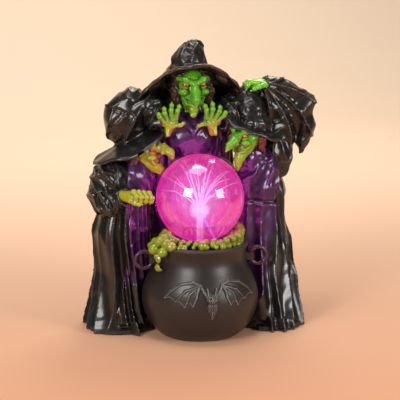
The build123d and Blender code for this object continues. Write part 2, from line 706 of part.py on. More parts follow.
plate = plate_prism(ROBE_ROOM, plate_top, PLATE_INSET)
plate += box(box_x0 - BOX_WALL, box_x1 + BOX_WALL, box_y0 - BOX_WALL, box_y1 + BOX_WALL, ROBE_ROOM, BOX_TOP)
plate += tab_block(3.0, door_top + 0.2, door_top + 8)
plate -= box(box_x0, box_x1, box_y0, box_y1, ROBE_ROOM - 1, BOX_TOP - BOX_WALL)
plate -= tab_block(PLAY, ROBE_ROOM - 1, door_top + 0.2)
plate -= post(TAB_X, BOX_Y, door_top - 1, M2_R + PLAY, 8)
for x, y in ALL_PILLARS:
    plate -= post(x, y, ROBE_ROOM - 1, M3_R + 0.2, PLATE_T + 2)
    plate -= post(x, y, ROBE_ROOM - 1, M3_HEAD_R + PLAY, 2.6)
for side in (-1, 1):
    low, high = sorted((BOX_Y + side * (hinge_half + PLAY), BOX_Y + side * (hinge_half + PLAY + HINGE_LUG)))
    plate += hinge_bar(low, high, HINGE_R)
    plate += box(box_x0 - 0.5, hinge_x, low, high, ROBE_ROOM, ROBE_ROOM + 2 * HINGE_R)
pin_half = hinge_half + PLAY + HINGE_LUG
plate -= hinge_bar(BOX_Y - pin_half, BOX_Y + pin_half, HINGE_PIN_R + FIT)
save("base_plate", biggest(plate))
save("hinge_pin", hinge_bar(BOX_Y - pin_half + 0.2, BOX_Y + pin_half - 0.2, HINGE_PIN_R))

door = box(hinge_x, box_x1 - PLAY, box_y0 + PLAY, box_y1 - PLAY, ROBE_ROOM, door_top)
door += tab_block(0, ROBE_ROOM, door_top)
for side in (-1, 1):
    low, high = sorted((BOX_Y + side * hinge_half, BOX_Y + side * (BOX_IN_D / 2 + 1)))
    door -= box(box_x0 - 1, hinge_x + HINGE_R + PLAY, low, high, 0, 10)
door += hinge_bar(BOX_Y - hinge_half, BOX_Y + hinge_half, HINGE_R)
door -= hinge_bar(BOX_Y - hinge_half - 1, BOX_Y + hinge_half + 1, HINGE_PIN_R + FIT)
door -= post(TAB_X, BOX_Y, ROBE_ROOM - 1, M2_R + 0.2, DOOR_T + 2)
door -= post(TAB_X, BOX_Y, ROBE_ROOM - 1, M2_HEAD_R + PLAY, 2.2)
save("battery_door", biggest(door))
DOOR_SCREW_BITE = 2.0        # a captive screw, so short that it swings out with the door
door_screw_l = DOOR_T - 1.2 + 0.2 + DOOR_SCREW_BITE
save("door_screw", screw_up(TAB_X, BOX_Y, ROBE_ROOM + 1.2, M2_R, M2_HEAD_R, door_screw_l, 1.1))
save("base_screws", *[screw_up(x, y, ROBE_ROOM + 1.6, M3_R, M3_HEAD_R, 9) for x, y in ALL_PILLARS])

# Cells lie along X and alternate; each has a flat contact and a coil spring.
CONTACT_T = 0.5
NUB_R, NUB_L = 2.7, 1.0
SPRING_R, SPRING_WIRE = 3.0, 0.4
cell_z = door_top + 0.5 + CELL_R
spring_room = BOX_IN_W - CELL_L - 2 * CONTACT_T


def along_x(x0, x1, y, z, radius):
    return Pos((x0 + x1) / 2, y, z) * Rot(0, 90, 0) * Cylinder(radius, x1 - x0)


cells = []
springs = []
contacts = []
for i in range(CELL_COUNT):
    y = BOX_Y + (i - (CELL_COUNT - 1) / 2) * CELL_PITCH
    side = 1 if i % 2 else -1
    plus_end = BOX_X + side * (BOX_IN_W / 2 - CONTACT_T)
    shoulder = plus_end - side * NUB_L
    minus_end = plus_end - side * CELL_L
    cell = along_x(*sorted((shoulder, minus_end)), y, cell_z, CELL_R)
    cells.append(cell + along_x(*sorted((plus_end, shoulder - side)), y, cell_z, NUB_R))
    turns = int(spring_room / (1.5 * SPRING_WIRE))
    spring = None
    for turn in range(turns):
        x = minus_end - side * (SPRING_WIRE + turn * (spring_room - 2 * SPRING_WIRE) / (turns - 1))
        coil = Pos(x, y, cell_z) * Rot(0, 90, 0) * Torus(SPRING_R, SPRING_WIRE)
        spring = coil if spring is None else spring + coil
    springs.append(spring)
    for x0 in (box_x0, box_x1 - CONTACT_T):
        contacts.append(box(x0, x0 + CONTACT_T, y - 5.5, y + 5.5, cell_z - 5, cell_z + 5))
save("battery_cells", *cells)
save("contact_springs", *springs)
save("contact_plates", *contacts)


# ---------------------------------------------------------------- switch panel
SWITCH_X = PANEL_X - 10.0
JACK_X = PANEL_X + 2.0
MIC_X = PANEL_X + 12.0
panel_inner = PANEL_Y - PANEL_T
slot_w = KNOB_W + 2 * KNOB_TRAVEL + 0.6
SWITCH_W, SWITCH_D, SWITCH_H = 14.0, 6.0, 7.0
JACK_W, JACK_D = 9.0, 11.0
MIC_R, MIC_D = 3.0, 5.0
PANEL_SCREW_OFF = PANEL_W / 2 - 3.0
SLOT_PLAY = 0.15


def along_y(x, y0, y1, z, radius):
    return Pos(x, (y0 + y1) / 2, z) * Rot(90, 0, 0) * Cylinder(radius, y1 - y0)


def block_at(x, width, y0, y1, height):
    return box(x - width / 2, x + width / 2, y0, y1, PANEL_Z - height / 2, PANEL_Z + height / 2)


panel = block_at(PANEL_X, PANEL_W, panel_inner, PANEL_Y, PANEL_H)
panel = fillet(panel.edges().filter_by(Axis.Y), 1.0)
panel -= block_at(SWITCH_X, slot_w, panel_inner - 1, PANEL_Y + 1, KNOB_H + 2 * SLOT_PLAY)
panel -= along_y(JACK_X, panel_inner - 1, PANEL_Y + 1, PANEL_Z, JACK_R + FIT)
panel -= along_y(MIC_X, panel_inner - 1, PANEL_Y + 1, PANEL_Z, 0.8)
for side in (-1, 1):
    panel -= along_y(PANEL_X + side * PANEL_SCREW_OFF, panel_inner - 1, PANEL_Y + 1, PANEL_Z, M2_R + 0.2)
save("switch_panel", panel)


def panel_screw(side, grow=0.0):
    x = PANEL_X + side * PANEL_SCREW_OFF
    shank = along_y(x, panel_inner - 2.0, PANEL_Y, PANEL_Z, M2_R + grow)
    return shank + along_y(x, PANEL_Y, PANEL_Y + 0.9, PANEL_Z, M2_HEAD_R + grow)


save("panel_screws", panel_screw(-1), panel_screw(1))
switch_back = panel_inner - SWITCH_D
switch = block_at(SWITCH_X, SWITCH_W, switch_back, panel_inner, SWITCH_H)
switch -= block_at(SWITCH_X, slot_w, panel_inner - 4.0, panel_inner + 1, KNOB_H + 2 * FIT)
save("selector_switch", switch)
save("selector_knob", block_at(SWITCH_X, KNOB_W, panel_inner - 3.6, PANEL_Y + 1.5, KNOB_H))
jack = block_at(JACK_X, JACK_W, panel_inner - JACK_D, panel_inner, JACK_W)
jack += along_y(JACK_X, panel_inner - 1, PANEL_Y + 0.4, PANEL_Z, JACK_R)
jack -= along_y(JACK_X, panel_inner - JACK_D + 2, PANEL_Y + 1, PANEL_Z, JACK_BORE_R)
jack += along_y(JACK_X, panel_inner - JACK_D + 1.5, PANEL_Y - 0.5, PANEL_Z, 1.0)
save("power_jack", jack)
save("microphone", along_y(MIC_X, panel_inner - MIC_D, panel_inner, PANEL_Z, MIC_R))

# Supply leads run from the switch through the cauldron's wall up to the driver board.
LEAD_R = 0.6
LEAD_GAP = 1.6
supply = []
feed = []
for i, offset in enumerate((-LEAD_GAP, LEAD_GAP)):
    x0 = SWITCH_X + offset
    x1 = POT_X + offset
    points = [
        (x0, switch_back, PANEL_Z), (x0, switch_back - 12, PANEL_Z),
        (x1 - 2.0, BOX_Y - 8, WIRE_HOLE_Z + 0.6), (x1, BOX_Y - 26, WIRE_HOLE_Z - 0.4),
        (x1, BOX_Y - 43, WIRE_HOLE_Z + 1.5), (x1, POT_Y + 23.5, BOARD_Z - 8), (x1, POT_Y + 23.5, BOARD_Z),
    ]
    supply.append(wire(points, LEAD_R, "supply_leads"))
    foot_y = switch_back - 13
    low_z = PANEL_Z - 2.2
    feed.append(wire(
        [
            (x0 - 6, foot_y, BOX_TOP), (x0 - 6, foot_y, BOX_TOP + 7),
            (x0, switch_back - 7, low_z), (x0, switch_back, low_z),
        ],
        LEAD_R, "battery_leads",
    ))
save("supply_leads", *supply)
save("battery_leads", *feed)
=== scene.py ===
import math
import bpy
import numpy as np
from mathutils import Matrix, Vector


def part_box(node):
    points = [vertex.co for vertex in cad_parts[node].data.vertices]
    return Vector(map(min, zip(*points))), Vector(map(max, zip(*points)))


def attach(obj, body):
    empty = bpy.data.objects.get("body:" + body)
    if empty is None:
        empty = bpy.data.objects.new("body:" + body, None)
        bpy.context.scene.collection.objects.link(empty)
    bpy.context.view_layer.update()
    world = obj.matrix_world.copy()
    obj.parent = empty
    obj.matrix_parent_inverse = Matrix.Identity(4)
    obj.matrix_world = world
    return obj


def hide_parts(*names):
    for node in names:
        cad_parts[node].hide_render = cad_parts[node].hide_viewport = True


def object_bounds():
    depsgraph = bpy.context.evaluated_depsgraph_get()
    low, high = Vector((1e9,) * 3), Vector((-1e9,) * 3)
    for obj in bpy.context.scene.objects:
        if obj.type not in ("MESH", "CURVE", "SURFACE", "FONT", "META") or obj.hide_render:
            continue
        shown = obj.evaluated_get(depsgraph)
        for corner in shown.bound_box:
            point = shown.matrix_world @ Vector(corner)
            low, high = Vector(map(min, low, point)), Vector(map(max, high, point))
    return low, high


bl_info = {
    "name": "Witches Round a Cauldron",
    "version": (1, 0, 0),
    "blender": (4, 5, 0),
    "location": "View3D > Sidebar > Witches",
    "description": "Sculpts and paints a cast group of three witches round a lit plasma globe",
    "category": "Add Mesh",
}

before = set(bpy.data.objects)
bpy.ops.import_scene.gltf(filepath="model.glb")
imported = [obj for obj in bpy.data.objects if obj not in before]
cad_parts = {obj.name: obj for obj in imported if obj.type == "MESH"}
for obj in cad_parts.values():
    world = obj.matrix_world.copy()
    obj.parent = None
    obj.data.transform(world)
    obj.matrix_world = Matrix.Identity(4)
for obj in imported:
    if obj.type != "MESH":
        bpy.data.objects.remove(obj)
CAD_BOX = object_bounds()
MM = 0.001
FIGURE = "figure"


def node_box(name):
    """Lowest and highest corner of a construction node, in millimetres."""
    low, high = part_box(name)
    return np.array(low) / MM, np.array(high) / MM


# ------------------------------------------------------------------ settings
class WITCH_PG_clay(bpy.types.PropertyGroup):
    """Sizes of the sculpted pieces"""

    robe_step: bpy.props.FloatProperty(
        name="Robe resolution", description="Size of a sculpting cell on robes and hats",
        default=0.9 * MM, unit="LENGTH", min=0.4 * MM)
    face_step: bpy.props.FloatProperty(
        name="Face resolution", description="Size of a sculpting cell on faces and hands",
        default=0.42 * MM, unit="LENGTH", min=0.2 * MM)
    fold_depth: bpy.props.FloatProperty(
        name="Fold depth", description="Depth of the deepest folds at the hems",
        default=5.2 * MM, unit="LENGTH", min=0.0)
    bubble_size: bpy.props.FloatProperty(
        name="Bubble size", description="Radius of the largest foam bubbles",
        default=4.4 * MM, unit="LENGTH", min=1.0 * MM)


class WITCH_PG_paint(bpy.types.PropertyGroup):
    """Colours of the painted resin and the light"""

    cloak: bpy.props.FloatVectorProperty(
        name="Cloak black", description="Paint of cloaks, sleeves and hats", subtype="COLOR",
        size=3, default=(0.0075, 0.0068, 0.0062), min=0.0, max=1.0)
    gown: bpy.props.FloatVectorProperty(
        name="Gown purple", description="Pearl paint of the gowns", subtype="COLOR",
        size=3, default=(0.040, 0.006, 0.062), min=0.0, max=1.0)
    green: bpy.props.FloatVectorProperty(
        name="Green skin", description="Paint of the green faces and hands", subtype="COLOR",
        size=3, default=(0.075, 0.34, 0.008), min=0.0, max=1.0)
    yellow: bpy.props.FloatVectorProperty(
        name="Yellow skin", description="Paint of the yellow face and of the finger tips", subtype="COLOR",
        size=3, default=(0.36, 0.35, 0.014), min=0.0, max=1.0)
    foam: bpy.props.FloatVectorProperty(
        name="Foam green", description="Paint of the brew's bubbles", subtype="COLOR",
        size=3, default=(0.21, 0.26, 0.004), min=0.0, max=1.0)
    glow: bpy.props.FloatVectorProperty(
        name="Globe glow", description="Light of the gas in the globe", subtype="COLOR",
        size=3, default=(1.0, 0.022, 0.40), min=0.0, max=1.0)


def clay():
    return bpy.context.scene.witch_clay


def paint():
    return bpy.context.scene.witch_paint


# ------------------------------------------------------------------ clay: distance fields on a grid
def ball(g, centre, radius):
    x, y, z = (g[i] - centre[i] for i in range(3))
    return np.sqrt(x * x + y * y + z * z) - radius


def egg(g, centre, radii, yaw=0.0, pitch=0.0):
    """Distance to an ellipsoid turned by yaw about z, then tipped by pitch about its own x."""
    x, y, z = (g[i] - centre[i] for i in range(3))
    c, s = math.cos(yaw), math.sin(yaw)
    x, y = c * x + s * y, c * y - s * x
    c, s = math.cos(pitch), math.sin(pitch)
    y, z = c * y + s * z, c * z - s * y
    near = np.sqrt((x / radii[0]) ** 2 + (y / radii[1]) ** 2 + (z / radii[2]) ** 2)
    steep = np.sqrt((x / radii[0] ** 2) ** 2 + (y / radii[1] ** 2) ** 2 + (z / radii[2] ** 2) ** 2)
    return near * (near - 1.0) / np.maximum(steep, 1e-6)


def bone(g, start, end, start_r, end_r):
    """Distance to a tapered limb with round ends."""
    start, end = np.asarray(start, float), np.asarray(end, float)
    run = end - start
    length2 = float(run @ run)
    along = sum((g[i] - start[i]) * run[i] for i in range(3)) / length2
    along = np.clip(along, 0.0, 1.0)
    far2 = sum((g[i] - start[i] - along * run[i]) ** 2 for i in range(3))
    return np.sqrt(far2) - (start_r + (end_r - start_r) * along)


def melt(a, b, soft=2.0):
    """Union with a soft fillet."""
    mix = np.clip(0.5 + 0.5 * (b - a) / soft, 0.0, 1.0)
    return b + (a - b) * mix - soft * mix * (1.0 - mix)


def carve(a, b, soft=1.0):
    """Takes b out of a, with a soft rim."""
    return -melt(-a, b, soft)


def keep(a, b, soft=1.0):
    """What a and b share, with a soft rim."""
    return -melt(-a, -b, soft)


def chain(g, points, radii, soft=1.5):
    shape = None
    for a, b, ra, rb in zip(points, points[1:], radii, radii[1:]):
        part = bone(g, a, b, ra, rb)
        shape = part if shape is None else melt(shape, part, soft)
    return shape


def ripple(g, size, seed, waves=7):
    """Smooth unevenness between about -1 and 1, the same on each run."""
    dice = np.random.default_rng(seed)
    total = 0.0
    for _ in range(waves):
        turn = dice.normal(size=3)
        turn *= dice.uniform(0.6, 1.5) * 2 * math.pi / (size * np.linalg.norm(turn))
        total = total + np.sin(g[0] * turn[0] + g[1] * turn[1] + g[2] * turn[2] + dice.uniform(0, 6.28))
    return total / math.sqrt(waves * 1.4)


def crumple(g, size, seed, sharp=1.4):
    """Ridges of creased cloth, between 0 and 1, crisp along their tops."""
    first = np.clip(1.0 - np.abs(ripple(g, size, seed, 5)) * 1.5, 0, 1) ** sharp
    second = np.clip(1.0 - np.abs(ripple(g, size * 0.55, seed + 1, 5)) * 1.8, 0, 1) ** sharp
    return first + 0.45 * second


def block(g, low, high):
    """Distance to an upright box."""
    out = [np.maximum(low[i] - g[i], g[i] - high[i]) for i in range(3)]
    return np.maximum(np.maximum(out[0], out[1]), out[2])


def drape(g, rows, inset=0.0, folds=(), sharp=0.95):
    """Cloth round an upright body. rows: height, middle x and y, half width, half depth."""
    rows = np.array(sorted(rows), float)
    z = g[2]
    mid_x, mid_y, wide, deep = (smooth_row(z, rows[:, 0], rows[:, k]) for k in (1, 2, 3, 4))
    wide = np.maximum(wide - inset, 1.0)
    deep = np.maximum(deep - inset, 1.0)
    u = (g[0] - mid_x) / wide
    v = (g[1] - mid_y) / deep
    reach = np.sqrt(u * u + v * v) + 1e-6
    angle = np.arctan2(v, u)
    size = np.minimum(wide, deep)
    swell = 0.0
    for count, phase, lean, low_depth, high_depth in folds:
        rise = np.clip((z - rows[0, 0]) / (rows[-1, 0] - rows[0, 0]), 0, 1)
        depth = low_depth * (1 - rise) ** 1.3 + high_depth * rise
        wander = 0.30 * np.sin(2.0 * angle + phase * 2.3 + z * 0.013) + lean * rise
        wander = wander + 0.11 * np.sin(5.0 * angle + phase + z * 0.036)
        uneven = 0.72 + 0.28 * np.sin(3.0 * angle + 1.7 * phase + z * 0.011)
        wave = 1.0 - 2.0 * np.abs(np.sin(0.5 * count * (angle + phase + wander))) ** sharp
        swell = swell + depth * uneven * (wave - 0.25) / size
    steep = np.sqrt((u / wide) ** 2 + (v / deep) ** 2) / reach
    return (reach - 1.0 - swell) / np.maximum(steep, 1e-5)


def smooth_row(z, heights, values):
    """Eases between the rows' values, without corners at the rows."""
    fine = np.linspace(heights[0] - 20, heights[-1] + 20, 400)
    line = np.interp(fine, heights, values)
    span = max(3, int(9.0 / (fine[1] - fine[0])))
    kernel = np.hanning(2 * span + 1)
    padded = np.pad(line, span, mode="edge")
    return np.interp(z, fine, np.convolve(padded, kernel / kernel.sum(), mode="valid"))


def grid(low, high, step):
    axes = [np.arange(low[i] - 2 * step, high[i] + 3 * step, step, dtype=np.float64) for i in range(3)]
    return axes, (axes[0][:, None, None], axes[1][None, :, None], axes[2][None, None, :])


def net(values, axes):
    """Points and four-cornered faces of the surface where the values change sign."""
    nx, ny, nz = values.shape
    cells = (nx - 1, ny - 1, nz - 1)
    solid = values < 0
    total = np.zeros((4, cells[0] * cells[1] * cells[2]))
    quads = []
    for axis in range(3):
        low = [slice(None)] * 3
        high = [slice(None)] * 3
        low[axis], high[axis] = slice(0, -1), slice(1, None)
        a, b = values[tuple(low)], values[tuple(high)]
        where = np.nonzero(solid[tuple(low)] != solid[tuple(high)])
        spot = np.array(where)
        share = a[where] / (a[where] - b[where])
        point = spot.astype(float)
        point[axis] += share
        others = [k for k in range(3) if k != axis]
        ring = []
        inside = np.ones(spot.shape[1], bool)
        for du, dv in ((0, 0), (1, 0), (1, 1), (0, 1)):
            cell = spot.copy()
            cell[others[0]] -= du
            cell[others[1]] -= dv
            fits = np.all((cell >= 0) & (cell < np.array(cells)[:, None]), axis=0)
            inside &= fits
            flat = np.where(fits, (cell[0] * cells[1] + cell[1]) * cells[2] + cell[2], 0)
            for k in range(3):
                total[k] += np.bincount(flat[fits], point[k][fits], total.shape[1])
            total[3] += np.bincount(flat[fits], minlength=total.shape[1])
            ring.append(flat)
        ring = np.array(ring).T[inside]
        outward = solid[tuple(low)][where][inside]
        if axis == 1:
            outward = ~outward
        ring[~outward] = ring[~outward][:, ::-1]
        quads.append(ring)
    used = np.nonzero(total[3] > 0)[0]
    number = np.zeros(total.shape[1], np.int64)
    number[used] = np.arange(len(used))
    points = (total[:3, used] / total[3, used]).T
    step = np.array([axis[1] - axis[0] for axis in axes])
    points = points * step + np.array([axis[0] for axis in axes])
    return points, number[np.concatenate(quads)]


def sculpt(name, field, low, high, step, material, stands_for=(), body=FIGURE):
    """Meshes a field between two corners, in millimetres, and makes it a piece of the figure."""
    axes, g = grid(low, high, step / MM)
    values = field(g)
    values = np.broadcast_to(values, tuple(len(axis) for axis in axes))
    points, quads = net(np.ascontiguousarray(values), axes)
    return make_piece(name, points, quads, material, stands_for, body)


def make_piece(name, points, quads, material, stands_for=(), body=FIGURE):
    mesh = bpy.data.meshes.new(name)
    mesh.vertices.add(len(points))
    mesh.vertices.foreach_set("co", (np.asarray(points) * MM).astype(np.float32).ravel())
    corners = quads.shape[1]
    mesh.loops.add(quads.size)
    mesh.loops.foreach_set("vertex_index", quads.astype(np.int32).ravel())
    mesh.polygons.add(len(quads))
    mesh.polygons.foreach_set("loop_start", np.arange(0, quads.size, corners, dtype=np.int32))
    mesh.polygons.foreach_set("use_smooth", np.ones(len(quads), bool))
    mesh.update(calc_edges=True)
    mesh.validate()
    piece = bpy.data.objects.new(name, mesh)
    bpy.context.scene.collection.objects.link(piece)
    mesh.materials.append(material)
    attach(piece, body)
    if stands_for:
        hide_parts(*stands_for)
    return piece


# ------------------------------------------------------------------ shader maths
def plug(tree, value, socket):
    if isinstance(value, Term):
        tree.links.new(value.socket, socket)
    elif isinstance(value, (tuple, list)) and len(value) == 3 and socket.type == "RGBA":
        socket.default_value = (*value, 1.0)
    else:
        socket.default_value = value


class Term:
    """A node's output that takes part in arithmetic."""

    def __init__(self, tree, socket):
        self.tree = tree
        self.socket = socket

    def math(self, operation, *values):
        node = self.tree.nodes.new("ShaderNodeMath")
        node.operation = operation
        for value, socket in zip(values, node.inputs):
            plug(self.tree, value, socket)
        return Term(self.tree, node.outputs[0])

    def __add__(self, other):
        return self.math("ADD", self, other)

    def __radd__(self, other):
        return self.math("ADD", other, self)

    def __sub__(self, other):
        return self.math("SUBTRACT", self, other)

    def __rsub__(self, other):
        return self.math("SUBTRACT", other, self)

    def __mul__(self, other):
        return self.math("MULTIPLY", self, other)

    def __rmul__(self, other):
        return self.math("MULTIPLY", other, self)

    def __truediv__(self, other):
        return self.math("DIVIDE", self, other)

    def __pow__(self, other):
        return self.math("POWER", self, other)

    def clamp(self):
        return self.math("MINIMUM", self.math("MAXIMUM", self, 0.0), 1.0)


class Surface:
    """A material under construction."""

    def __init__(self, name):
        self.material = bpy.data.materials.new(name)
        self.material.use_nodes = True
        self.tree = self.material.node_tree
        self.tree.nodes.clear()

    def add(self, kind, settings=None, values=None, out=0):
        node = self.tree.nodes.new("ShaderNode" + kind)
        for key, value in (settings or {}).items():
            if key == "stops":
                while len(node.color_ramp.elements) < len(value):
                    node.color_ramp.elements.new(0.5)
                for element, (place, colour) in zip(node.color_ramp.elements, value):
                    element.position = place
                    element.color = (*colour, 1.0)
            else:
                setattr(node, key, value)
        for key, value in (values or {}).items():
            plug(self.tree, value, node.inputs[key])
        return Term(self.tree, node.outputs[out])

    def place(self):
        return self.add("TexCoord", out="Object")

    def split(self, vector):
        node = self.tree.nodes.new("ShaderNodeSeparateXYZ")
        plug(self.tree, vector, node.inputs[0])
        return [Term(self.tree, socket) for socket in node.outputs]

    def noise(self, scale, detail=3.0, rough=0.5, vector=None, distortion=0.0):
        return self.add("TexNoise", None, {
            "Vector": vector or self.place(), "Scale": scale, "Detail": detail,
            "Roughness": rough, "Distortion": distortion}, "Fac")

    def mix(self, share, a, b):
        node = self.tree.nodes.new("ShaderNodeMix")
        node.data_type = "RGBA"
        for key, value in ((0, share), (6, a), (7, b)):
            plug(self.tree, value, node.inputs[key])
        return Term(self.tree, node.outputs[2])

    def edges(self, gain):
        """How far the surface bulges: 1 on sharp ridges."""
        point = self.add("NewGeometry", out="Pointiness")
        return ((point - 0.5) * gain).clamp()

    def hollows(self, gain):
        point = self.add("NewGeometry", out="Pointiness")
        return ((0.5 - point) * gain).clamp()

    def bump(self, height, strength, distance=0.3 * MM):
        return self.add("Bump", None, {"Height": height, "Strength": strength, "Distance": distance})

    def finish(self, shader):
        out = self.tree.nodes.new("ShaderNodeOutputMaterial")
        self.tree.links.new(shader.socket, out.inputs["Surface"])
        return self.material

    def resin(self, colour, rough, normal=None, coat=0.0, coat_rough=0.1, metallic=0.0, level=0.5):
        values = {"Base Color": colour, "Roughness": rough, "Metallic": metallic, "Coat Weight": coat,
                  "Coat Roughness": coat_rough, "Specular IOR Level": level}
        if normal is not None:
            values["Normal"] = normal
        return self.finish(self.add("BsdfPrincipled", None, values))


def tone(colour, gain):
    return tuple(min(1.0, c * gain) for c in colour)


def black_resin(name, base, ridge, ridge_gain=9.0, rough=0.30):
    """Satin black paint, lighter on its ridges: dry-brush paint and a painted highlight."""
    s = Surface(name)
    cloudy = s.noise(55, 4, 0.6)
    fine = s.noise(900, 3, 0.6)
    brush_and_highlight = (s.edges(ridge_gain) * (0.25 + 1.1 * s.noise(160, 3, 0.6))).clamp()
    colour = s.mix(cloudy, tone(base, 0.6), tone(base, 1.5))
    # lighter on the ridges: partly dry-brush paint, partly a painted highlight
    colour = s.mix(brush_and_highlight * 0.8, colour, ridge)
    streak = s.noise(120, 2, 0.5, s.add("Mapping", None, {"Vector": s.place(), "Scale": (1, 1, 0.18)}))
    height = 0.6 * fine + 0.9 * streak
    return s.resin(colour, rough - 0.10 + 0.20 * cloudy, s.bump(height, 0.18), 0.30, 0.14, 0.0, 0.38)


def pearl_gown(name, base, hem, dark, slant=0.0, edge=1.0, top=1.0):
    """Pearl paint that fades to the cloak's black under the hem height and past a slanted edge."""
    s = Surface(name)
    cloudy = s.noise(45, 4, 0.6)
    x, _, z = s.split(s.place())
    low = ((hem - z) * 55.0 + 2.2 * (cloudy - 0.5)).clamp()
    past = (((x - (edge - (top - z) * slant)) * 160.0 + 2.0 * (cloudy - 0.5)).clamp()
            * ((top - z) * 400.0).clamp())
    black = low.math("MAXIMUM", low, past)
    fine = s.noise(1400, 2, 0.6)
    colour = s.mix(cloudy, tone(base, 0.55), tone(base, 1.6))
    # painted highlight in magenta on the ridges
    colour = s.mix(s.edges(9.0) * 0.7, colour, (0.30, 0.10, 0.42))
    # painted shade in the hollows
    colour = s.mix(s.hollows(9.0), colour, tone(base, 0.12))
    colour = s.mix(black, colour, dark)
    return s.resin(colour, 0.24 + 0.16 * cloudy, s.bump(fine, 0.10), 0.5, 0.12, 0.25 - 0.25 * black)


def witch_skin(name, base, warm, crease_shade, warm_from, warm_to, axis=2, crease_shade_gain=34.0):
    """Glossy skin paint: warmer towards one end of an axis (metres), a painted highlight on the ridges,
    painted shade in the creases.
    """
    s = Surface(name)
    cloudy = s.noise(130, 4, 0.6)
    way = s.split(s.place())[axis]
    share = ((way - warm_from) * (1.0 / (warm_to - warm_from)) + 0.7 * (cloudy - 0.5)).clamp()
    colour = s.mix(share, base, warm)
    colour = s.mix(((cloudy - 0.5) * 1.3).clamp(), colour, tone(warm, 1.15))
    # painted highlight on ridges such as the nose and chin tips
    colour = s.mix(s.edges(9.0) * 0.5, colour, tone(warm, 1.7))
    # painted shade in the creases, mixed with random dark blotches
    crease = (s.hollows(crease_shade_gain) + (s.noise(230, 3, 0.6) - 0.62) * 1.8).clamp()
    colour = s.mix(crease * 0.9, colour, crease_shade)
    fine = s.noise(1500, 3, 0.6)
    return s.resin(colour, 0.30 + 0.15 * cloudy, s.bump(fine, 0.16), 0.55, 0.10)


def strands(name, base, ridge):
    s = Surface(name)
    lines = s.noise(420, 3, 0.6, s.add("Mapping", None, {"Vector": s.place(), "Scale": (1, 1, 0.15)}))
    colour = s.mix(s.edges(8.0), s.mix(lines, tone(base, 0.4), tone(base, 1.5)), ridge)
    return s.resin(colour, 0.42, s.bump(lines, 0.5, 0.5 * MM), 0.2)


def lime_foam(name, base):
    s = Surface(name)
    cloudy = s.noise(160, 3, 0.6)
    colour = s.mix(cloudy, tone(base, 0.6), tone(base, 1.35))
    # painted shade in the hollows between bubbles
    colour = s.mix(s.hollows(6.0), colour, (0.035, 0.055, 0.004))
    # painted highlight on the bubbles' crests
    colour = s.mix(s.edges(5.0) * 0.35, colour, (0.66, 0.74, 0.10))
    return s.resin(colour, 0.16 + 0.12 * cloudy, s.bump(s.noise(900, 2), 0.08), 0.8, 0.05)


def cauldron_black(name):
    s = Surface(name)
    cloudy = s.noise(38, 5, 0.62)
    fine = s.noise(1100, 4, 0.7)
    pits = s.noise(300, 3, 0.6)
    colour = s.mix(cloudy, (0.0080, 0.0065, 0.0062), (0.019, 0.0135, 0.0125))
    # painted highlight on the edges, such as the lip
    colour = s.mix(s.edges(7.0) * 0.6, colour, (0.09, 0.075, 0.07))
    return s.resin(colour, 0.36 + 0.12 * cloudy, s.bump(fine * 0.6 + pits * 0.5, 0.26), 0.12, 0.25)


def dry_brush_and_highlight(name, base, ridge, gain=12.0, rough=0.42):
    s = Surface(name)
    cloudy = s.noise(200, 4, 0.6)
    # lighter on the ridges: dry-brush paint on the bat, a painted pink highlight on the rings
    colour = s.mix((s.edges(gain) * (0.5 + cloudy)).clamp(), base, ridge)
    return s.resin(colour, rough + 0.1 * cloudy, s.bump(s.noise(1300, 3), 0.25), 0.15, 0.2, 0.15)


def moulded(name, base, rough=0.5, grain=1600, strength=0.25, coat=0.0, metallic=0.0):
    """Moulded plastic, rubber or plain metal with a fine even grain."""
    s = Surface(name)
    cloudy = s.noise(90, 3)
    colour = s.mix(cloudy, tone(base, 0.82), tone(base, 1.18))
    normal = s.bump(s.noise(grain, 2), strength, 0.15 * MM)
    return s.resin(colour, rough + 0.08 * cloudy, normal, coat, 0.1, metallic)


def turned_metal(name, base, rough=0.28):
    s = Surface(name)
    x, y, z = s.split(s.place())
    lines = s.noise(2400, 2, 0.5, s.add("CombineXYZ", None, {"Z": z, "X": (x * x + y * y) ** 0.5}))
    colour = s.mix(lines, tone(base, 0.8), base)
    return s.resin(colour, rough + 0.15 * lines, s.bump(lines, 0.12, 0.1 * MM), 0.0, 0.1, 1.0)


def circuit_board(name):
    s = Surface(name)
    tracks = s.add("TexVoronoi", {"feature": "DISTANCE_TO_EDGE"}, {"Vector": s.place(), "Scale": 260.0},
                   "Distance")
    track = ((0.09 - tracks) * 30.0).clamp()
    colour = s.mix(track, (0.008, 0.10, 0.03), (0.03, 0.22, 0.06))
    return s.resin(colour, 0.35, s.bump(track, 0.3, 0.1 * MM), 0.3)


def witch_eye(name, centres, looks, radius):
    """Red-orange eyeballs with a black pupil each, by distance from where the pupils sit."""
    s = Surface(name)
    pupil = None
    for centre, look in zip(centres, looks):
        spot = tuple((centre[i] + look[i] * radius) * MM for i in range(3))
        near = s.add("VectorMath", {"operation": "DISTANCE"}, {0: s.place(), 1: spot}, "Value")
        shade = ((0.85 * MM - near) * (1.0 / (0.35 * MM))).clamp()
        pupil = shade if pupil is None else pupil.math("MAXIMUM", pupil, shade)
    veins = s.noise(700, 3, 0.6)
    colour = s.mix(veins, (0.34, 0.012, 0.004), (0.62, 0.06, 0.012))
    colour = s.mix(pupil, colour, (0.004, 0.002, 0.002))
    return s.resin(colour, 0.08, None, 1.0, 0.03)


# ------------------------------------------------------------------ places taken from the construction
GLASS_LOW, GLASS_HIGH = node_box("globe_glass")
GLOBE_R = (GLASS_HIGH[0] - GLASS_LOW[0]) / 2
GLOBE = np.array([(GLASS_LOW[0] + GLASS_HIGH[0]) / 2, (GLASS_LOW[1] + GLASS_HIGH[1]) / 2,
                  GLASS_HIGH[2] - GLOBE_R])
LIP_Z = node_box("cauldron")[1][2]
PLAIN_BELLY_R = 50.6     # the cauldron without its lugs


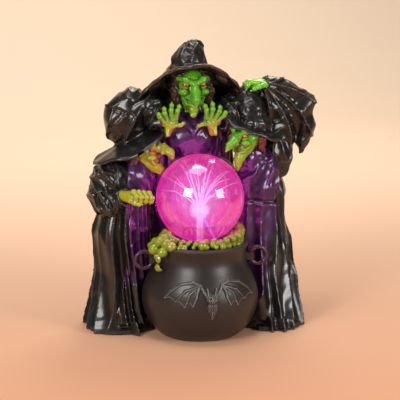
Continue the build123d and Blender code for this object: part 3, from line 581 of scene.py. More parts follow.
def pot_profile():
    """Heights and outer radii of the cauldron, read from its construction mesh."""
    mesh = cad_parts["cauldron"].data
    co = np.zeros(len(mesh.vertices) * 3)
    mesh.vertices.foreach_get("co", co)
    co = co.reshape(-1, 3) / MM
    front = co[co[:, 1] < GLOBE[1]]
    radius = np.hypot(front[:, 0] - GLOBE[0], front[:, 1] - GLOBE[1])
    heights = np.linspace(0, LIP_Z - 2, 28)
    sizes = []
    for z in heights:
        near = np.abs(front[:, 2] - z) < 2.6
        plain = near & (radius < PLAIN_BELLY_R)
        sizes.append(radius[plain].max() if plain.any() else np.nan)
    sizes = np.array(sizes)
    good = ~np.isnan(sizes)
    return heights[good], sizes[good]


POT_ROWS = pot_profile()


def pot_radius(z):
    return np.interp(z, *POT_ROWS)


def clear_pot(g, shape, gap=0.35):
    """Keeps a casting off the cauldron and the globe."""
    around = np.sqrt((g[0] - GLOBE[0]) ** 2 + (g[1] - GLOBE[1]) ** 2)
    pot = np.maximum(around - pot_radius(g[2]) - gap, g[2] - LIP_Z - 8)
    shape = np.maximum(shape, -pot)
    return np.maximum(shape, -ball(g, GLOBE, GLOBE_R + gap))


# ------------------------------------------------------------------ robes
REAR_ROWS = [
    (0, -3, 42.5, 57, 37), (42, -3, 42, 52, 35), (100, -4, 40.5, 45, 30), (140, -5, 34, 41, 27),
    (165, -5, 30, 38, 24), (182, -6, 27, 30, 19), (194, -6, 23, 16, 12), (204, -6, 22, 4, 4),
]
LEFT_ROWS = [
    (0, -70.5, 9, 35, 42), (20, -70, 9.5, 30, 38), (48, -68, 10, 26, 33), (86, -68, 8.5, 27, 30),
    (118, -63, 8, 23, 25), (136, -58, 7, 16, 17), (150, -55, 6, 8, 9), (158, -54, 5, 2, 2),
]
RIGHT_ROWS = [
    (0, 58.5, 1, 35.5, 47), (20, 57, 4, 33.5, 42), (45, 54.5, 7, 32, 36), (80, 53, 9.5, 31.5, 30.5),
    (104, 52, 10, 29.5, 28), (112, 52, 10, 28.5, 27.5), (118, 52, 10, 29.5, 28), (132, 52, 10, 24, 24),
    (146, 52, 9, 13, 14), (156, 50, 7, 3, 3),
]
PLATE_Z = node_box("battery_door")[1][2] + 1.2


def hem_recess(g, shape, rows, inset=10.0):
    """Hollow under a casting, where the base plate sits."""
    inner = drape(g, rows, inset)
    return carve(shape, np.maximum(inner, g[2] - PLATE_Z), 0.3)


def floor_cut(g, shape):
    return np.maximum(shape, -g[2])


def rear_cloak_field(g):
    deep = clay().fold_depth / MM
    shape = drape(g, REAR_ROWS, 0.8,
                  [(15, 0.5, 0.5, deep * 0.7, deep * 0.32), (8, 1.9, -0.4, deep * 0.35, deep * 0.3)])
    for side in (-1, 1):
        shoulder = bone(g, (-6 + side * 30, 24, 176), (-6 + side * 12, 24, 190), 13.5, 10)
        shape = melt(shape, shoulder, 5)
    shape = shape + 0.35 * ripple(g, 26, 5) - 0.9 * crumple(g, 60, 12)
    window = block(g, (-37, -60, 82), (26, 26.5, 186))
    shape = carve(shape, window + 1.2 * ripple(g, 22, 8), 3.0)
    low, high = node_box("switch_panel")
    pocket = block(g, low - 0.6, high + np.array([0.6, 20, 0.6]))
    shape = carve(shape, pocket, 0.4)
    shape = hem_recess(g, shape, REAR_ROWS)
    return floor_cut(g, clear_pot(g, shape))


def rear_gown_field(g):
    shape = drape(g, REAR_ROWS, 1.4, [(22, 0.1, 0.3, 2.4, 1.6)])
    bodice = egg(g, (-6, 16, 168), (27, 15, 22))
    swag = np.sin(0.34 * (g[2] - 172 + 0.028 * (g[0] + 6) ** 2)) * np.clip((186 - g[2]) / 14, 0, 1)
    bodice = bodice + 0.8 * swag - 0.8 * crumple(g, 26, 14)
    shape = melt(shape, bodice, 5)
    collar = bone(g, (-20, 8, 186), (-6, 0.5, 172), 3.4, 2.6)
    collar = np.minimum(collar, bone(g, (8, 8, 186), (-6, 0.5, 172), 3.4, 2.6))
    shape = melt(shape, collar, 2.5)
    brooch = egg(g, (-6, 0.2, 172), (3.2, 2.2, 2.6))
    shape = melt(shape, brooch, 0.6)
    shape = shape + 0.2 * ripple(g, 12, 3)
    shape = keep(shape, block(g, (-43, -60, 78), (32, 34, 188)), 2.0)
    return clear_pot(g, shape)


def left_body(g, inset):
    deep = clay().fold_depth / MM
    folds = [(10, 0.25, 0.6, deep * 1.0, deep * 0.3), (5, 1.2, -0.5, deep * 0.5, deep * 0.3)]
    return drape(g, LEFT_ROWS, inset, folds) + 0.3 * ripple(g, 24, 21) - 0.8 * crumple(g, 70, 22)


def left_opening(g):
    """Front of the cloak, where the gown shows: bounded by a long curved edge."""
    edge = -70 + 0.11 * (g[2] - 40) + 3.0 * np.sin((g[2] - 30) * 0.045)
    return np.maximum(np.maximum(edge - g[0], g[1] + 2), np.maximum(12 - g[2], g[2] - 152))


def left_cloak_field(g):
    shape = left_body(g, 1.8)
    shape = carve(shape, left_opening(g) + 1.2 * ripple(g, 17, 31), 2.5)
    cape = egg(g, (-70, 14, 128), (25, 24, 24), 0.3)
    cape = cape + 1.2 * np.abs(np.sin(g[0] * 0.19 + g[2] * 0.14 + np.sin(g[1] * 0.1))) - 1.3 * crumple(g,
                                                                                                       34, 32)
    cape = np.maximum(cape, -(left_opening(g)))
    shape = melt(shape, cape, 3)
    shape = hem_recess(g, shape, LEFT_ROWS)
    return floor_cut(g, clear_pot(g, shape))


def left_gown_field(g):
    shape = drape(g, LEFT_ROWS, 4.0, [(15, 0.6, 0.9, 3.2, 1.4)])
    chest = egg(g, (-57, -3, 132), (17, 14, 20), 0.4)
    shape = melt(shape, chest + 0.9 * np.abs(np.sin(g[0] * 0.36 + g[2] * 0.11)), 4)
    shape = shape + 0.22 * ripple(g, 10, 23) - 1.0 * crumple(g, 38, 24)
    shape = np.maximum(shape, left_opening(g) - 4.0)
    return floor_cut(g, clear_pot(g, shape))


def right_body(g, inset):
    deep = clay().fold_depth / MM
    folds = [(11, 0.9, -0.7, deep * 0.8, deep * 0.25), (5, 0.3, 0.4, deep * 0.45, deep * 0.25)]
    return drape(g, RIGHT_ROWS, inset, folds) + 0.3 * ripple(g, 24, 41) - 0.8 * crumple(g, 70, 42)


def right_opening(g):
    edge = 73 - 0.10 * (g[2] - 60) + 2.5 * np.sin((g[2] - 20) * 0.05)
    low = 12 + 0 * g[0]
    return np.maximum(np.maximum(g[0] - edge, g[1] - 3), np.maximum(low - g[2], g[2] - 158))


def right_cloak_field(g):
    shape = right_body(g, 1.6)
    shape = carve(shape, right_opening(g) + 1.0 * ripple(g, 17, 51), 2.5)
    shape = hem_recess(g, shape, RIGHT_ROWS)
    return floor_cut(g, clear_pot(g, shape))


def right_gown_field(g):
    shape = drape(g, RIGHT_ROWS, 3.0, [(13, 0.2, -0.5, 4.4, 0.8)])
    bust = egg(g, (53, -1, 129), (22, 14, 25), -0.2)
    fan = np.arctan2(g[0] - 60, 176 - g[2])
    tuck = np.abs(np.sin(8.5 * fan + 0.35 * np.sin(g[2] * 0.12)))
    shape = melt(shape, bust + 2.6 * tuck - 1.6 * crumple(g, 26, 44), 3)
    shape = melt(shape, bone(g, (47, 1, 150), (44, 0, 160), 12.5, 8.5) - 0.9 * crumple(g, 16, 46), 5)
    belt_z = 112.0 - 0.09 * (g[0] - 40)
    band = np.exp(-((g[2] - belt_z) / 1.5) ** 2)
    shape = shape + 1.5 * band - 0.9 * np.exp(-((g[2] - belt_z + 3.0) / 1.6) ** 2)
    shape = shape + 0.22 * ripple(g, 11, 43)
    shape = np.maximum(shape, right_opening(g) - 4.0)
    return clear_pot(g, shape)


# ------------------------------------------------------------------ heads
class Face:
    """Place, turn and size of a head; maps its own axes (x right, -y forward) to the figure's."""

    def __init__(self, middle, yaw, pitch, size):
        self.middle = np.array(middle, float)
        self.yaw = yaw
        self.pitch = pitch
        self.size = size

    def local(self, g):
        x, y, z = ((g[i] - self.middle[i]) / self.size for i in range(3))
        c, s = math.cos(self.yaw), math.sin(self.yaw)
        x, y = c * x + s * y, c * y - s * x
        c, s = math.cos(self.pitch), math.sin(self.pitch)
        return x, c * y + s * z, c * z - s * y

    def world(self, point):
        x, y, z = point
        c, s = math.cos(self.pitch), math.sin(self.pitch)
        y, z = c * y - s * z, c * z + s * y
        c, s = math.cos(self.yaw), math.sin(self.yaw)
        return self.middle + self.size * np.array([c * x - s * y, c * y + s * x, z])


def hag_face(p, eye, nose, nose_r, chin, chin_r, grin):
    """A bony hag's head in its own axes. eye: how far out and how high the eyes sit."""
    out, up = eye
    shape = egg(p, (0, 3, 4), (13.0, 14, 13.5))
    shape = melt(shape, egg(p, (0, -4, -4), (9.8, 8.5, 11)), 4)
    jaw = chain(p, [(0, -5.5, -10), chin[0], chin[1]], [7.0, chin_r[0], chin_r[1]], 2.0)
    shape = melt(shape, jaw, 2.5)
    for side in (-1, 1):
        shape = carve(shape, egg(p, (side * out, -14.0, up), (3.9, 3.9, 3.1), side * 0.25), 1.0)
        shape = carve(shape, egg(p, (side * 10.8, -7.5, up - 11), (2.8, 4.2, 5.0)), 2.0)
        ledge = [(side * (out + 5), -7.2, up + 4.6), (side * (out + 0.5), -12.6, up + 4.8),
                 (side * 2.0, -14.0, up + 1.6)]
        shape = melt(shape, chain(p, ledge, [1.7, 2.3, 2.2]), 1.0)
        cheek = egg(p, (side * (out + 1.4), -10.6, up - 5.6), (4.4, 3.6, 2.8), side * 0.5)
        shape = melt(shape, cheek, 1.0)
    shape = melt(shape, chain(p, nose, nose_r, 1.0), 1.1)
    for side in (-1, 1):
        wing = np.array(nose[-2]) * 0.7 + np.array(nose[0]) * 0.3 + np.array([side * 2.7, 2.2, -1.0])
        shape = melt(shape, ball(p, wing, 2.1), 0.7)
        shape = carve(shape, ball(p, wing + np.array([side * 0.4, -1.4, -1.7]), 0.8), 0.4)
        fold = chain(p, [(side * 3.6, -15.4, grin + 7.5), (side * 7.2, -13.0, grin + 3.4),
                         (side * 7.8, -11.0, grin - 2)],
                     [0.5, 0.9, 0.6])
        shape = carve(shape, fold, 0.9)
    curve = [(-9.2, -10.2, grin + 5.6), (-5.4, -13.8, grin + 1.4), (0, -15.2, grin), (5.4, -13.8, grin + 1.4),
             (9.2, -10.2, grin + 5.6)]
    lips = chain(p, [(x * 0.94, y + 1.4, z - 1.6) for x, y, z in curve], [0.9, 1.5, 1.7, 1.5, 0.9])
    shape = melt(shape, lips, 0.8)
    shape = carve(shape, chain(p, curve, [0.5, 0.95, 1.15, 0.95, 0.5]), 0.5)
    lines = np.sin(p[2] * 2.1 + 0.5 * np.sin(p[0] * 0.5)) * np.exp(-((p[2] - up - 8.0) / 3.2) ** 2)
    lines = lines * np.clip((-p[1] - 6) / 4, 0, 1)
    bumps = np.clip(ripple(p, 5.0, 79, 9), 0.3, 2) * 0.3
    return shape + 0.34 * lines + 0.22 * ripple(p, 6.5, 77) - bumps


FACES = {
    "rear": Face((-6, 10.5, 207.5), 0.0, 0.0, 1.08),
    "left": Face((-51.0, -2.0, 155.6), math.radians(60), math.radians(-4), 0.95),
    "right": Face((41.0, -4.5, 166.4), math.radians(-52), 0.0, 0.95),
}
FEATURES = {
    "rear": ((6.9, 4.9), [(0, -13.0, 6.0), (0, -17.5, 0.0), (0, -21.5, -5.8), (0, -20.6, -10.2)],
             [2.9, 3.7, 3.4, 1.7],
             [(0, -10.5, -14.0), (-0.9, -13.0, -18.4)], [4.2, 2.6], -9.6),
    "left": ((5.6, 1.6), [(0, -13.0, 4.2), (0, -20.5, 3.0), (0, -26.5, -0.6), (0, -28.6, -7.0)],
             [3.8, 4.3, 3.6, 1.2],
             [(0, -12.5, -14.0), (0, -19.0, -19.0)], [5.0, 2.6], -9.6),
    "right": ((5.6, 2.2), [(0, -12.5, 3.4), (0, -19.5, -0.8), (0, -26.0, -5.0), (0, -30.8, -9.0)],
              [3.7, 4.2, 3.2, 1.0],
              [(0, -12.0, -17.5), (0, -15.8, -27.2)], [4.6, 2.3], -11.0),
}
NECKS = {
    "rear": ((-6, 15, 198), (-6, 22, 174), 8.0, 10.0),
    "left": ((-53, 3, 150), (-57, 6, 132), 8.0, 10.0),
    "right": ((44, 0, 160), (52, 8, 134), 8.0, 11.0),
}
EYE_R = 2.9


def head_field(who):
    face = FACES[who]

    def field(g):
        p = face.local(g)
        shape = hag_face(p, *FEATURES[who]) * face.size
        throat = bone(g, *NECKS[who]) + 0.5 * np.abs(np.sin(g[0] * 1.1)) + 0.3 * np.sin(g[2] * 1.3)
        shape = melt(shape, throat, 3.0)
        shape = np.maximum(shape, g[2] - brim_height(g, who))
        return np.maximum(shape, -ball(g, GLOBE, GLOBE_R + 0.4))
    return field


def brim_height(g, who):
    """Height of the hat's brim over a place, where the head ends."""
    if who == "left":
        return 160.4 + 0.445 * (g[0] + 60.5) - 5.0 * ((g[1] - 10) / 29) ** 2
    if who == "right":
        return 173.4 - 0.40 * (g[0] - 45) - 2.5 * ((g[1] - 3) / 24) ** 2
    return 224.0 - 0.20 * (g[1] - 10)


def eye_place(who, side):
    out, up = FEATURES[who][0]
    return np.array((side * out, -11.0, up))


def eye_places(who):
    return [FACES[who].world(eye_place(who, side)) for side in (-1, 1)]


def eyes_field(who):
    def field(g):
        shape = None
        for centre in eye_places(who):
            orb = ball(g, centre, EYE_R * FACES[who].size)
            shape = orb if shape is None else np.minimum(shape, orb)
        return shape
    return field


def lids_field(who):
    """Heavy lids above and bags below each eye."""
    def field(g):
        p = FACES[who].local(g)
        shape = None
        for side in (-1, 1):
            x, y, z = eye_place(who, side)
            shell = np.abs(ball(p, (x, y, z), EYE_R + 0.4)) - 0.45
            gap = np.abs(p[2] - z + 0.1 - side * 0.22 * (p[0] - x)) - 1.25
            lid = np.maximum(shell, -gap)
            lid = np.maximum(lid, p[1] - y - 1.4)
            shape = lid if shape is None else np.minimum(shape, lid)
        return shape * FACES[who].size
    return field


def hair_field(who):
    face = FACES[who]

    def field(g):
        p = face.local(g)
        shape = egg(p, (0, 7.5, 2), (14.5, 12, 14.5))
        locks = np.abs(np.sin(p[0] * 0.9 + 0.6 * np.sin(p[2] * 0.35) + p[1] * 0.8)) ** 0.7
        for side in (-1, 1):
            back = 0.0 if who == "rear" else 7.0
            tress = chain(p,
                          [(side * 12, back - 2, 6), (side * 14, back - 3.5, -1), (side * 13, back - 3, -8),
                              (side * 14, back, -13)], [3.4, 4.4, 3.6, 2.0])
            shape = melt(shape, tress, 2.0)
        shape = shape + 1.1 * locks + 0.4 * ripple(p, 4.0, 91)
        shape = np.maximum(shape, -hag_face(p, *FEATURES[who]) - 0.2)
        return np.maximum(shape * face.size, g[2] - brim_height(g, who))
    return field


# ------------------------------------------------------------------ hats
def brim(g, middle, half, front, back, roll, pitch, yaw, droop, front_droop, thick, seed, back_droop=2.0):
    """A floppy oval brim. half: half width; front, back: reach each way; angles in degrees."""
    x, y, z = (g[i] - middle[i] for i in range(3))
    c, s = math.cos(math.radians(yaw)), math.sin(math.radians(yaw))
    x, y = c * x + s * y, c * y - s * x
    c, s = math.cos(math.radians(roll)), math.sin(math.radians(roll))
    x, z = c * x + s * z, c * z - s * x
    c, s = math.cos(math.radians(pitch)), math.sin(math.radians(pitch))
    y, z = c * y + s * z, c * z - s * y
    deep = np.where(y < 0, front, back)
    u, v = x / half, y / deep
    reach = np.sqrt(u * u + v * v)
    angle = np.arctan2(v, u)
    rise = -droop * np.abs(u) ** 2.0 - np.where(v < 0, front_droop, back_droop) * v * v
    wave = 0.8 * np.sin(5 * angle + seed) + 0.5 * np.sin(9 * angle + 2.1 * seed)
    rise = rise + wave * reach ** 2
    slope = 1.0 + 2.2 * (droop / half * np.abs(u)) ** 2
    sheet = np.abs(z - rise) / slope - thick * (0.75 + 0.25 * np.clip(1.3 - reach, 0, 1))
    rim_line = 1.0 + 0.035 * np.sin(4 * angle + seed) + 0.02 * np.sin(11 * angle)
    outside = (reach - rim_line) * np.minimum(half, deep)
    return keep(sheet, outside, 1.6)


def rear_hat_field(g):
    shape = brim(g, (-7, 21, 223.5), 47.5, 31, 30, 1.5, -14, 0, 23.5, 0.5, 1.6, 0.4, 26.0)
    tip = node_box("rear_hat")[1][2]
    crown = chain(
        g, [(-6, 23, 219), (-5.5, 24, 229), (-3.0, 25, 237), (0.5, 27, 242.5), (4.0, 27, tip - 3.4)],
        [22.0, 15.5, 11.0, 6.6, 2.6], 3.0)
    around = np.arctan2(g[1] - 24, g[0] + 5)
    pleat = np.abs(np.sin(3.5 * around + g[2] * 0.10)) ** 0.8
    crown = crown + 0.9 * pleat * np.clip((g[2] - 221) / 8, 0, 1) - 0.8 * crumple(g, 20, 61)
    kink = bone(g, (13, 14, 237), (3, 9, 233), 2.8, 1.2)
    crown = carve(crown, kink, 1.6)
    shape = melt(shape, crown, 3.5)
    band = np.exp(-((g[2] - 225.5 + 0.18 * (g[1] - 22)) / 1.3) ** 2) * np.clip((28 - np.abs(g[0] + 6)) / 4,
                                                                               0, 1)
    shape = shape - 0.7 * band + 0.25 * ripple(g, 11, 62)
    hollow = egg(g, (-6, 10, 206), (16.5, 17.5, 19.5))
    shape = carve(shape, hollow, 1.5)
    return shape


def left_hat_field(g):
    shape = brim(g, (-60.5, 10, 163.5), 36, 29, 25, 24, 2, 6, 2.5, 5.0, 1.6, 1.3, 8.0)
    crown = egg(g, (-63.5, 15.5, 181), (17.5, 16, 23), 0.0, 0.1)
    crown = melt(crown, egg(g, (-57, 18, 194), (18, 12, 12.5)), 6)
    flop = chain(g, [(-54, 18, 199), (-43, 14, 196), (-37, 6, 188), (-34, 0, 181)], [9.5, 7.5, 5.2, 2.6], 3)
    crown = melt(crown, flop, 4)
    crease = chain(g, [(-76, 6, 193), (-62, -2, 189), (-53, -2, 197)], [0.9, 1.3, 0.9])
    crease = np.minimum(crease, chain(g, [(-50, 4, 205), (-46, 0, 190), (-52, -4, 172)], [1.2, 1.4, 0.8]))
    crease = np.minimum(crease, chain(g, [(-80, 8, 178), (-70, 0, 172), (-60, -3, 170)], [0.8, 1.1, 0.6]))
    crown = carve(crown, crease, 3.0)
    crown = crown + 0.8 * ripple(g, 19, 65) - 2.2 * crumple(g, 34, 66)
    shape = melt(shape, crown, 4.0)
    under = np.maximum(egg(g, (-52, 1, 156), (13.5, 14, 15.0)), g[2] - brim_height(g, "left"))
    return np.maximum(carve(shape, under, 0.5), -ball(g, GLOBE, GLOBE_R + 0.5))


def right_hat_field(g):
    shape = brim(g, (45.0, 3.0, 175.5), 30.5, 24, 23, -22, 3, -6, 1.0, 2.5, 1.6, 2.6, 6.0)
    crown = chain(g, [(48, 7, 176), (45.5, 9, 187), (44, 13, 197), (44, 15, 204)], [16.0, 13.0, 9.5, 7.0], 4)
    around = np.arctan2(g[1] - 10, g[0] - 46)
    crown = crown + 0.8 * np.abs(np.sin(2.5 * around + g[2] * 0.13)) - 1.0 * crumple(g, 22, 72)
    band = np.exp(-((g[2] - 180 - 0.35 * (48 - g[0])) / 1.4) ** 2)
    shape = melt(shape, crown - 0.5 * band, 3.0)
    under = np.maximum(egg(g, (41.5, -2, 165), (13.5, 14, 15.0)), g[2] - brim_height(g, "right"))
    return carve(shape, under, 0.5)


# ------------------------------------------------------------------ sleeves and hands
def rear_sleeve_field(side):
    def field(g):
        middle = -6.5
        arm = chain(
            g, [(middle + side * 30, 24, 186), (middle + side * 37, 14, 190), (middle + side * 31, 5, 183),
                (middle + side * 22, 2.5, 177)], [14, 10.5, 9.5, 7.0], 5)
        fold = np.abs(np.sin(0.33 * (g[0] * side + g[2] * 0.9) + 0.5 * np.sin(g[2] * 0.12))) ** 0.7
        arm = arm + 1.4 * fold - 1.8 * crumple(g, 24, 81 + side)
        cuff = bone(g, (middle + side * 23, -4, 178), (middle + side * 20, -10, 179), 5.2, 6)
        return np.maximum(carve(arm, cuff, 1.0), -ball(g, GLOBE, GLOBE_R + 0.5))
    return field


def finger(g, points, thick, claw=1.0):
    """Bony finger: knuckles swell, and the last point is a claw."""
    count = len(points)
    radii = [thick * (1.0 - 0.11 * i) for i in range(count)]
    shape = chain(g, points[:-1], radii[:-1], 0.5)
    for point, radius in zip(points[:-1], radii):
        shape = melt(shape, ball(g, point, radius * 1.16), 0.6)
    nail = bone(g, points[-2], points[-1], radii[-2] * 0.8, 0.45 * claw)
    return melt(shape, nail, 0.5)


def rear_hand_field(side):
    def field(g):
        m = -9.2
        palm_x = m + side * 18.5
        palm = egg(g, (palm_x, -3.5, 180.5), (8.0, 3.8, 4.6))
        palm = melt(palm, bone(g, (palm_x + side * 1.5, 1, 171), (palm_x, -2.5, 178), 3.6, 4.2), 2.5)
        tips = [(side * 10.5, 197.5, 13.5), (side * 17.5, 199.5, 17.0), (side * 24.5, 196.0, 20.5),
                (side * 29.5, 190.5, 23.5)]
        shape = palm
        for across, top, root in tips:
            a = np.array((m + side * root, -5.0, 184.5 - 0.25 * (root - 14)))
            c = np.array((m + across, -8.0, top))
            b = a * 0.5 + c * 0.5 + np.array((across * 0.06, -2.6, 0.6))
            b2 = a * 0.2 + c * 0.8 + np.array((across * 0.03, -2.2, 0.4))
            shape = melt(shape, finger(g, [a, b, b2, c], 2.25), 0.5)
        thumb = [(palm_x - side * 3, -5, 178.5), (palm_x - side * 8.5, -8, 179.2),
                 (palm_x - side * 13, -9, 181.8)]
        if side > 0:
            thumb = [(palm_x - 3, -5, 179), (palm_x - 9, -8, 179.5), (palm_x - 15.5, -8.5, 177)]
        shape = melt(shape,
                     finger(g, [thumb[0], thumb[1], (np.array(thumb[1]) + thumb[2]) / 2, thumb[2]], 2.1), 0.8)
        heel = chain(g, [(palm_x + side * 2, -4, 177), (palm_x + side * 2.6, -6.5, 170.5)], [2.4, 1.7])
        shape = melt(shape, heel, 1.0)
        tendons = 0.35 * np.abs(np.sin((g[0] - palm_x) * 0.95))
        return np.maximum(shape + tendons * np.clip((186 - g[2]) / 4, 0, 1), -ball(g, GLOBE, GLOBE_R + 0.4))
    return field


def left_fist_field(g):
    shape = bone(g, (-72, -17, 121), (-65, -28, 121.5), 4.6, 5.6)
    shape = melt(shape, egg(g, (-59.5, -30.5, 122), (9.0, 5.6, 5.4), 0.15), 2.0)
    for i in range(4):
        x = -64.2 + 4.3 * i
        y = -33.2 - 0.4 * i
        bent = [(x, y, 126.8 - 0.5 * i), (x + 1.6, y - 4.6, 123.6 - 0.4 * i), (x + 1.3, y - 3.8, 119.4),
                (x + 0.5, y - 1.0, 116.8)]
        shape = melt(shape, finger(g, bent, 2.35, 2.0), 0.35)
    thumb = finger(g, [(-67, -32, 119.5), (-63.5, -37, 118), (-60.5, -38.5, 117.2), (-57, -38.6, 116.6)], 2.2)
    return melt(shape, thumb, 0.4)


def right_hand_field(g):
    shape = bone(g, (68, 17, 208.5), (60, 16, 210), 4.6, 4.4)
    shape = melt(shape, egg(g, (54.5, 14.5, 210.8), (7.0, 8.5, 4.0), 0.0), 2.0)
    for i in range(4):
        y = 6.0 + 5.0 * i
        shape = melt(shape, finger(g, [(52, y, 212), (46, y - 1, 213.2 - 0.5 * i), (43, y - 1, 210),
                                       (41, y - 1.2, 206)], 2.1), 0.5)
    thumb = finger(g, [(59, 8, 210), (53, 4, 209), (48, 2.5, 207.5), (44.5, 2.5, 205.5)], 2.3)
    shape = melt(shape, thumb, 0.8)
    return melt(shape, egg(g, (50, 12, 209.5), (6, 8, 3.2)), 1.5)


def left_sleeve_field(g):
    shape = egg(g, (-80, 9, 129), (15.5, 17, 20), 0.2)
    shape = melt(shape, chain(g, [(-83, 8, 118), (-80, -2, 112), (-71, -16, 119)], [13, 12.5, 8.5], 4), 5)
    shape = melt(shape, chain(g, [(-88, 12, 118), (-87, 10, 106)], [8, 6.5], 3), 4)
    line = g[0] * 0.30 + g[2] * 0.22 - g[1] * 0.12
    fold = np.abs(np.sin(line + 0.7 * np.sin(g[2] * 0.10))) ** 0.65
    shape = shape + 1.7 * fold - 2.2 * crumple(g, 30, 95)
    mouth = bone(g, (-70, -20, 120.5), (-64, -30, 122), 5.8, 7.5)
    shape = carve(shape, mouth, 1.0)
    return np.maximum(shape, -96.5 - 4 - g[0])


def right_sleeve_field(g):
    hang = [(64, 17, 208.5), (80, 17, 203), (94, 17, 190), (97, 17, 174), (95.5, 17, 158), (94.5, 16, 149)]
    shape = chain(g, hang, [8.2, 10.0, 11.5, 9.0, 6.5, 3.4], 6)
    inner = chain(g, [(66, 18, 202), (74, 17, 186), (75, 15, 168), (70, 12, 150), (66, 10, 138)],
                  [9, 12, 13, 14, 14], 6)
    shape = melt(shape, inner, 7)
    shape = melt(shape, egg(g, (84, 18, 183), (16, 9, 17)), 5)
    shape = melt(shape, bone(g, (62, 21, 196), (63, 19, 170), 9.5, 10), 5)
    fan = np.arctan2(g[2] - 212, g[0] - 56)
    reach = np.sqrt((g[0] - 56) ** 2 + (g[2] - 212) ** 2)
    fold = np.abs(np.sin(8.5 * fan + 0.05 * reach + 0.4 * np.sin(g[1] * 0.2))) ** 0.6
    depth = np.clip(reach / 30, 0.25, 1.0)
    shape = shape + 3.4 * fold * depth - 0.9 - 1.5 * crumple(g, 36, 97)
    scoop = egg(g, (88.5, 2, 147), (4.5, 14, 11), 0, 0)
    shape = carve(shape, scoop, 3.0)
    cuff = bone(g, (60, 15.5, 210), (50, 14, 212), 5.0, 7.5)
    return carve(shape, cuff, 1.2)


# ------------------------------------------------------------------ bat and foam
def bat_field(g):
    """Low relief wrapped on the belly: x is arc length and z height from the bat's middle."""
    low, high = node_box("bat_relief")
    around = np.sqrt((g[0] - GLOBE[0]) ** 2 + (g[1] - GLOBE[1]) ** 2)
    lift = around - pot_radius(g[2])
    x = g[0] - (low[0] + high[0]) / 2
    z = g[2] - (low[2] + 14.5)
    side = np.abs(x)
    flat = (side, z, lift * 1.0)

    def rib(points, radii):
        return chain(flat, [(px, pz, 0.2) for px, pz in points], radii, 0.6)

    arm = rib([(3, 3.0), (6.5, 8.5), (9.5, 14.2)], [1.5, 1.1, 1.1])
    arm = np.minimum(arm, rib([(9.5, 14.2), (15, 16.8), (25, 15.0), (33, 9.0), (38, 2.4)],
                              [1.3, 1.25, 1.1, 0.9, 0.5]))
    arm = np.minimum(arm, rib([(9.5, 14.2), (12.4, 9.0), (13.4, 4.0), (16.6, -3.0)], [1.2, 1.1, 1.0, 0.6]))
    for tip in ((23.2, -4.0), (30.2, 0.6)):
        bow = ((9.5 + tip[0]) / 2 + 2.4, (14.2 + tip[1]) / 2 + 2.2)
        arm = np.minimum(arm, rib([(9.5, 14.2), bow, tip], [1.0, 0.95, 0.6]))
    upper = np.interp(side, [9, 15, 25, 33, 38.3], [14.0, 16.6, 14.8, 8.8, 2.4])
    lower = np.interp(side, [12, 16.6, 19.6, 23.2, 26.6, 30.2, 34, 38.3],
                      [3, -3.0, 0.8, -4.0, 0.2, 0.6, 3.4, 2.2])
    inner = np.interp(z, [-4, 0, 4, 9, 14], [17.2, 15.0, 13.4, 12.2, 9.2])
    skin = np.maximum(np.maximum(np.maximum(z - upper, lower - z), inner - side), side - 38.3) * 0.8
    skin = np.maximum(skin, lift - 0.55)
    body = egg((x, z, lift), (0, -4.5, 0), (4.4, 6.0, 2.4))
    head = egg((x, z, lift), (0, 3.0, 0.6), (4.5, 4.0, 2.8))
    head = melt(head, egg((x, z, lift), (0, 1.2, 2.0), (1.6, 1.3, 1.2)), 0.8)
    ears = bone(flat, (2.6, 5.4, 0.8), (3.9, 11.6, 0.4), 1.9, 0.5)
    head = melt(head, ears, 0.8)
    head = carve(head, ball(flat, (1.8, 3.8, 3.2), 1.15), 0.4)
    head = carve(head, egg((x, z, lift), (0, -0.4, 2.6), (1.5, 0.6, 1.2)), 0.4)
    tail = bone((x, z, lift), (0, -8, 0), (0, -13.8, 0), 2.4, 0.7)
    shape = melt(np.minimum(arm, skin), np.minimum(melt(body, head, 1.0), tail), 0.8)
    fur = 0.22 * np.sin(x * 4.2 + np.sin(z * 2)) * (side < 5.5)
    shape = shape + fur
    inside = 0.25 - lift
    return np.maximum(np.maximum(shape, inside - 0.9), g[1] - GLOBE[1])


def bubbles(centres_radii):
    def field(g):
        shape = None
        for x, y, z, r in centres_radii:
            drop = ball(g, (x, y, z), r)
            shape = drop if shape is None else melt(shape, drop, 0.7)
        shape = np.maximum(shape, -ball(g, GLOBE, GLOBE_R + 0.15))
        around = np.sqrt((g[0] - GLOBE[0]) ** 2 + (g[1] - GLOBE[1]) ** 2)
        pot = np.maximum(around - pot_radius(np.minimum(g[2], LIP_Z - 2)) - 0.05, g[2] - LIP_Z + 0.1)
        inner = around - (POT_INNER_R - 0.2)
        return np.maximum(shape, -np.maximum(pot, -inner))
    return field


POT_INNER_R = (node_box("brew_foam")[1][0] - node_box("brew_foam")[0][0]) / 2 + 0.2


def foam_ring():
    dice = np.random.default_rng(4)
    big = clay().bubble_size / MM
    drops = []
    for layer, (radius, height, size, count) in enumerate(
            ((33.0, 84.0, 1.0, 30), (29.0, 84.6, 0.9, 26), (26.0, 82.6, 0.8, 26), (35.0, 81.6, 0.8, 34))):
        for i in range(count):
            turn = 2 * math.pi * (i + 0.5 * (layer % 2) + dice.uniform(-0.2, 0.2)) / count
            r = big * size * dice.choice((0.55, 0.72, 0.9, 1.05))
            drops.append((GLOBE[0] + radius * math.cos(turn), GLOBE[1] + radius * math.sin(turn),
                          height + dice.uniform(-0.6, 1.6), r * 0.9))
    for i in range(7):
        turn = math.radians(-62 + 13 * i)
        drops.append((GLOBE[0] + 35.5 * math.cos(turn), GLOBE[1] + 35.5 * math.sin(turn), 87.5 + 0.7 * i,
                      big * (0.7 + 0.03 * i)))
    return drops


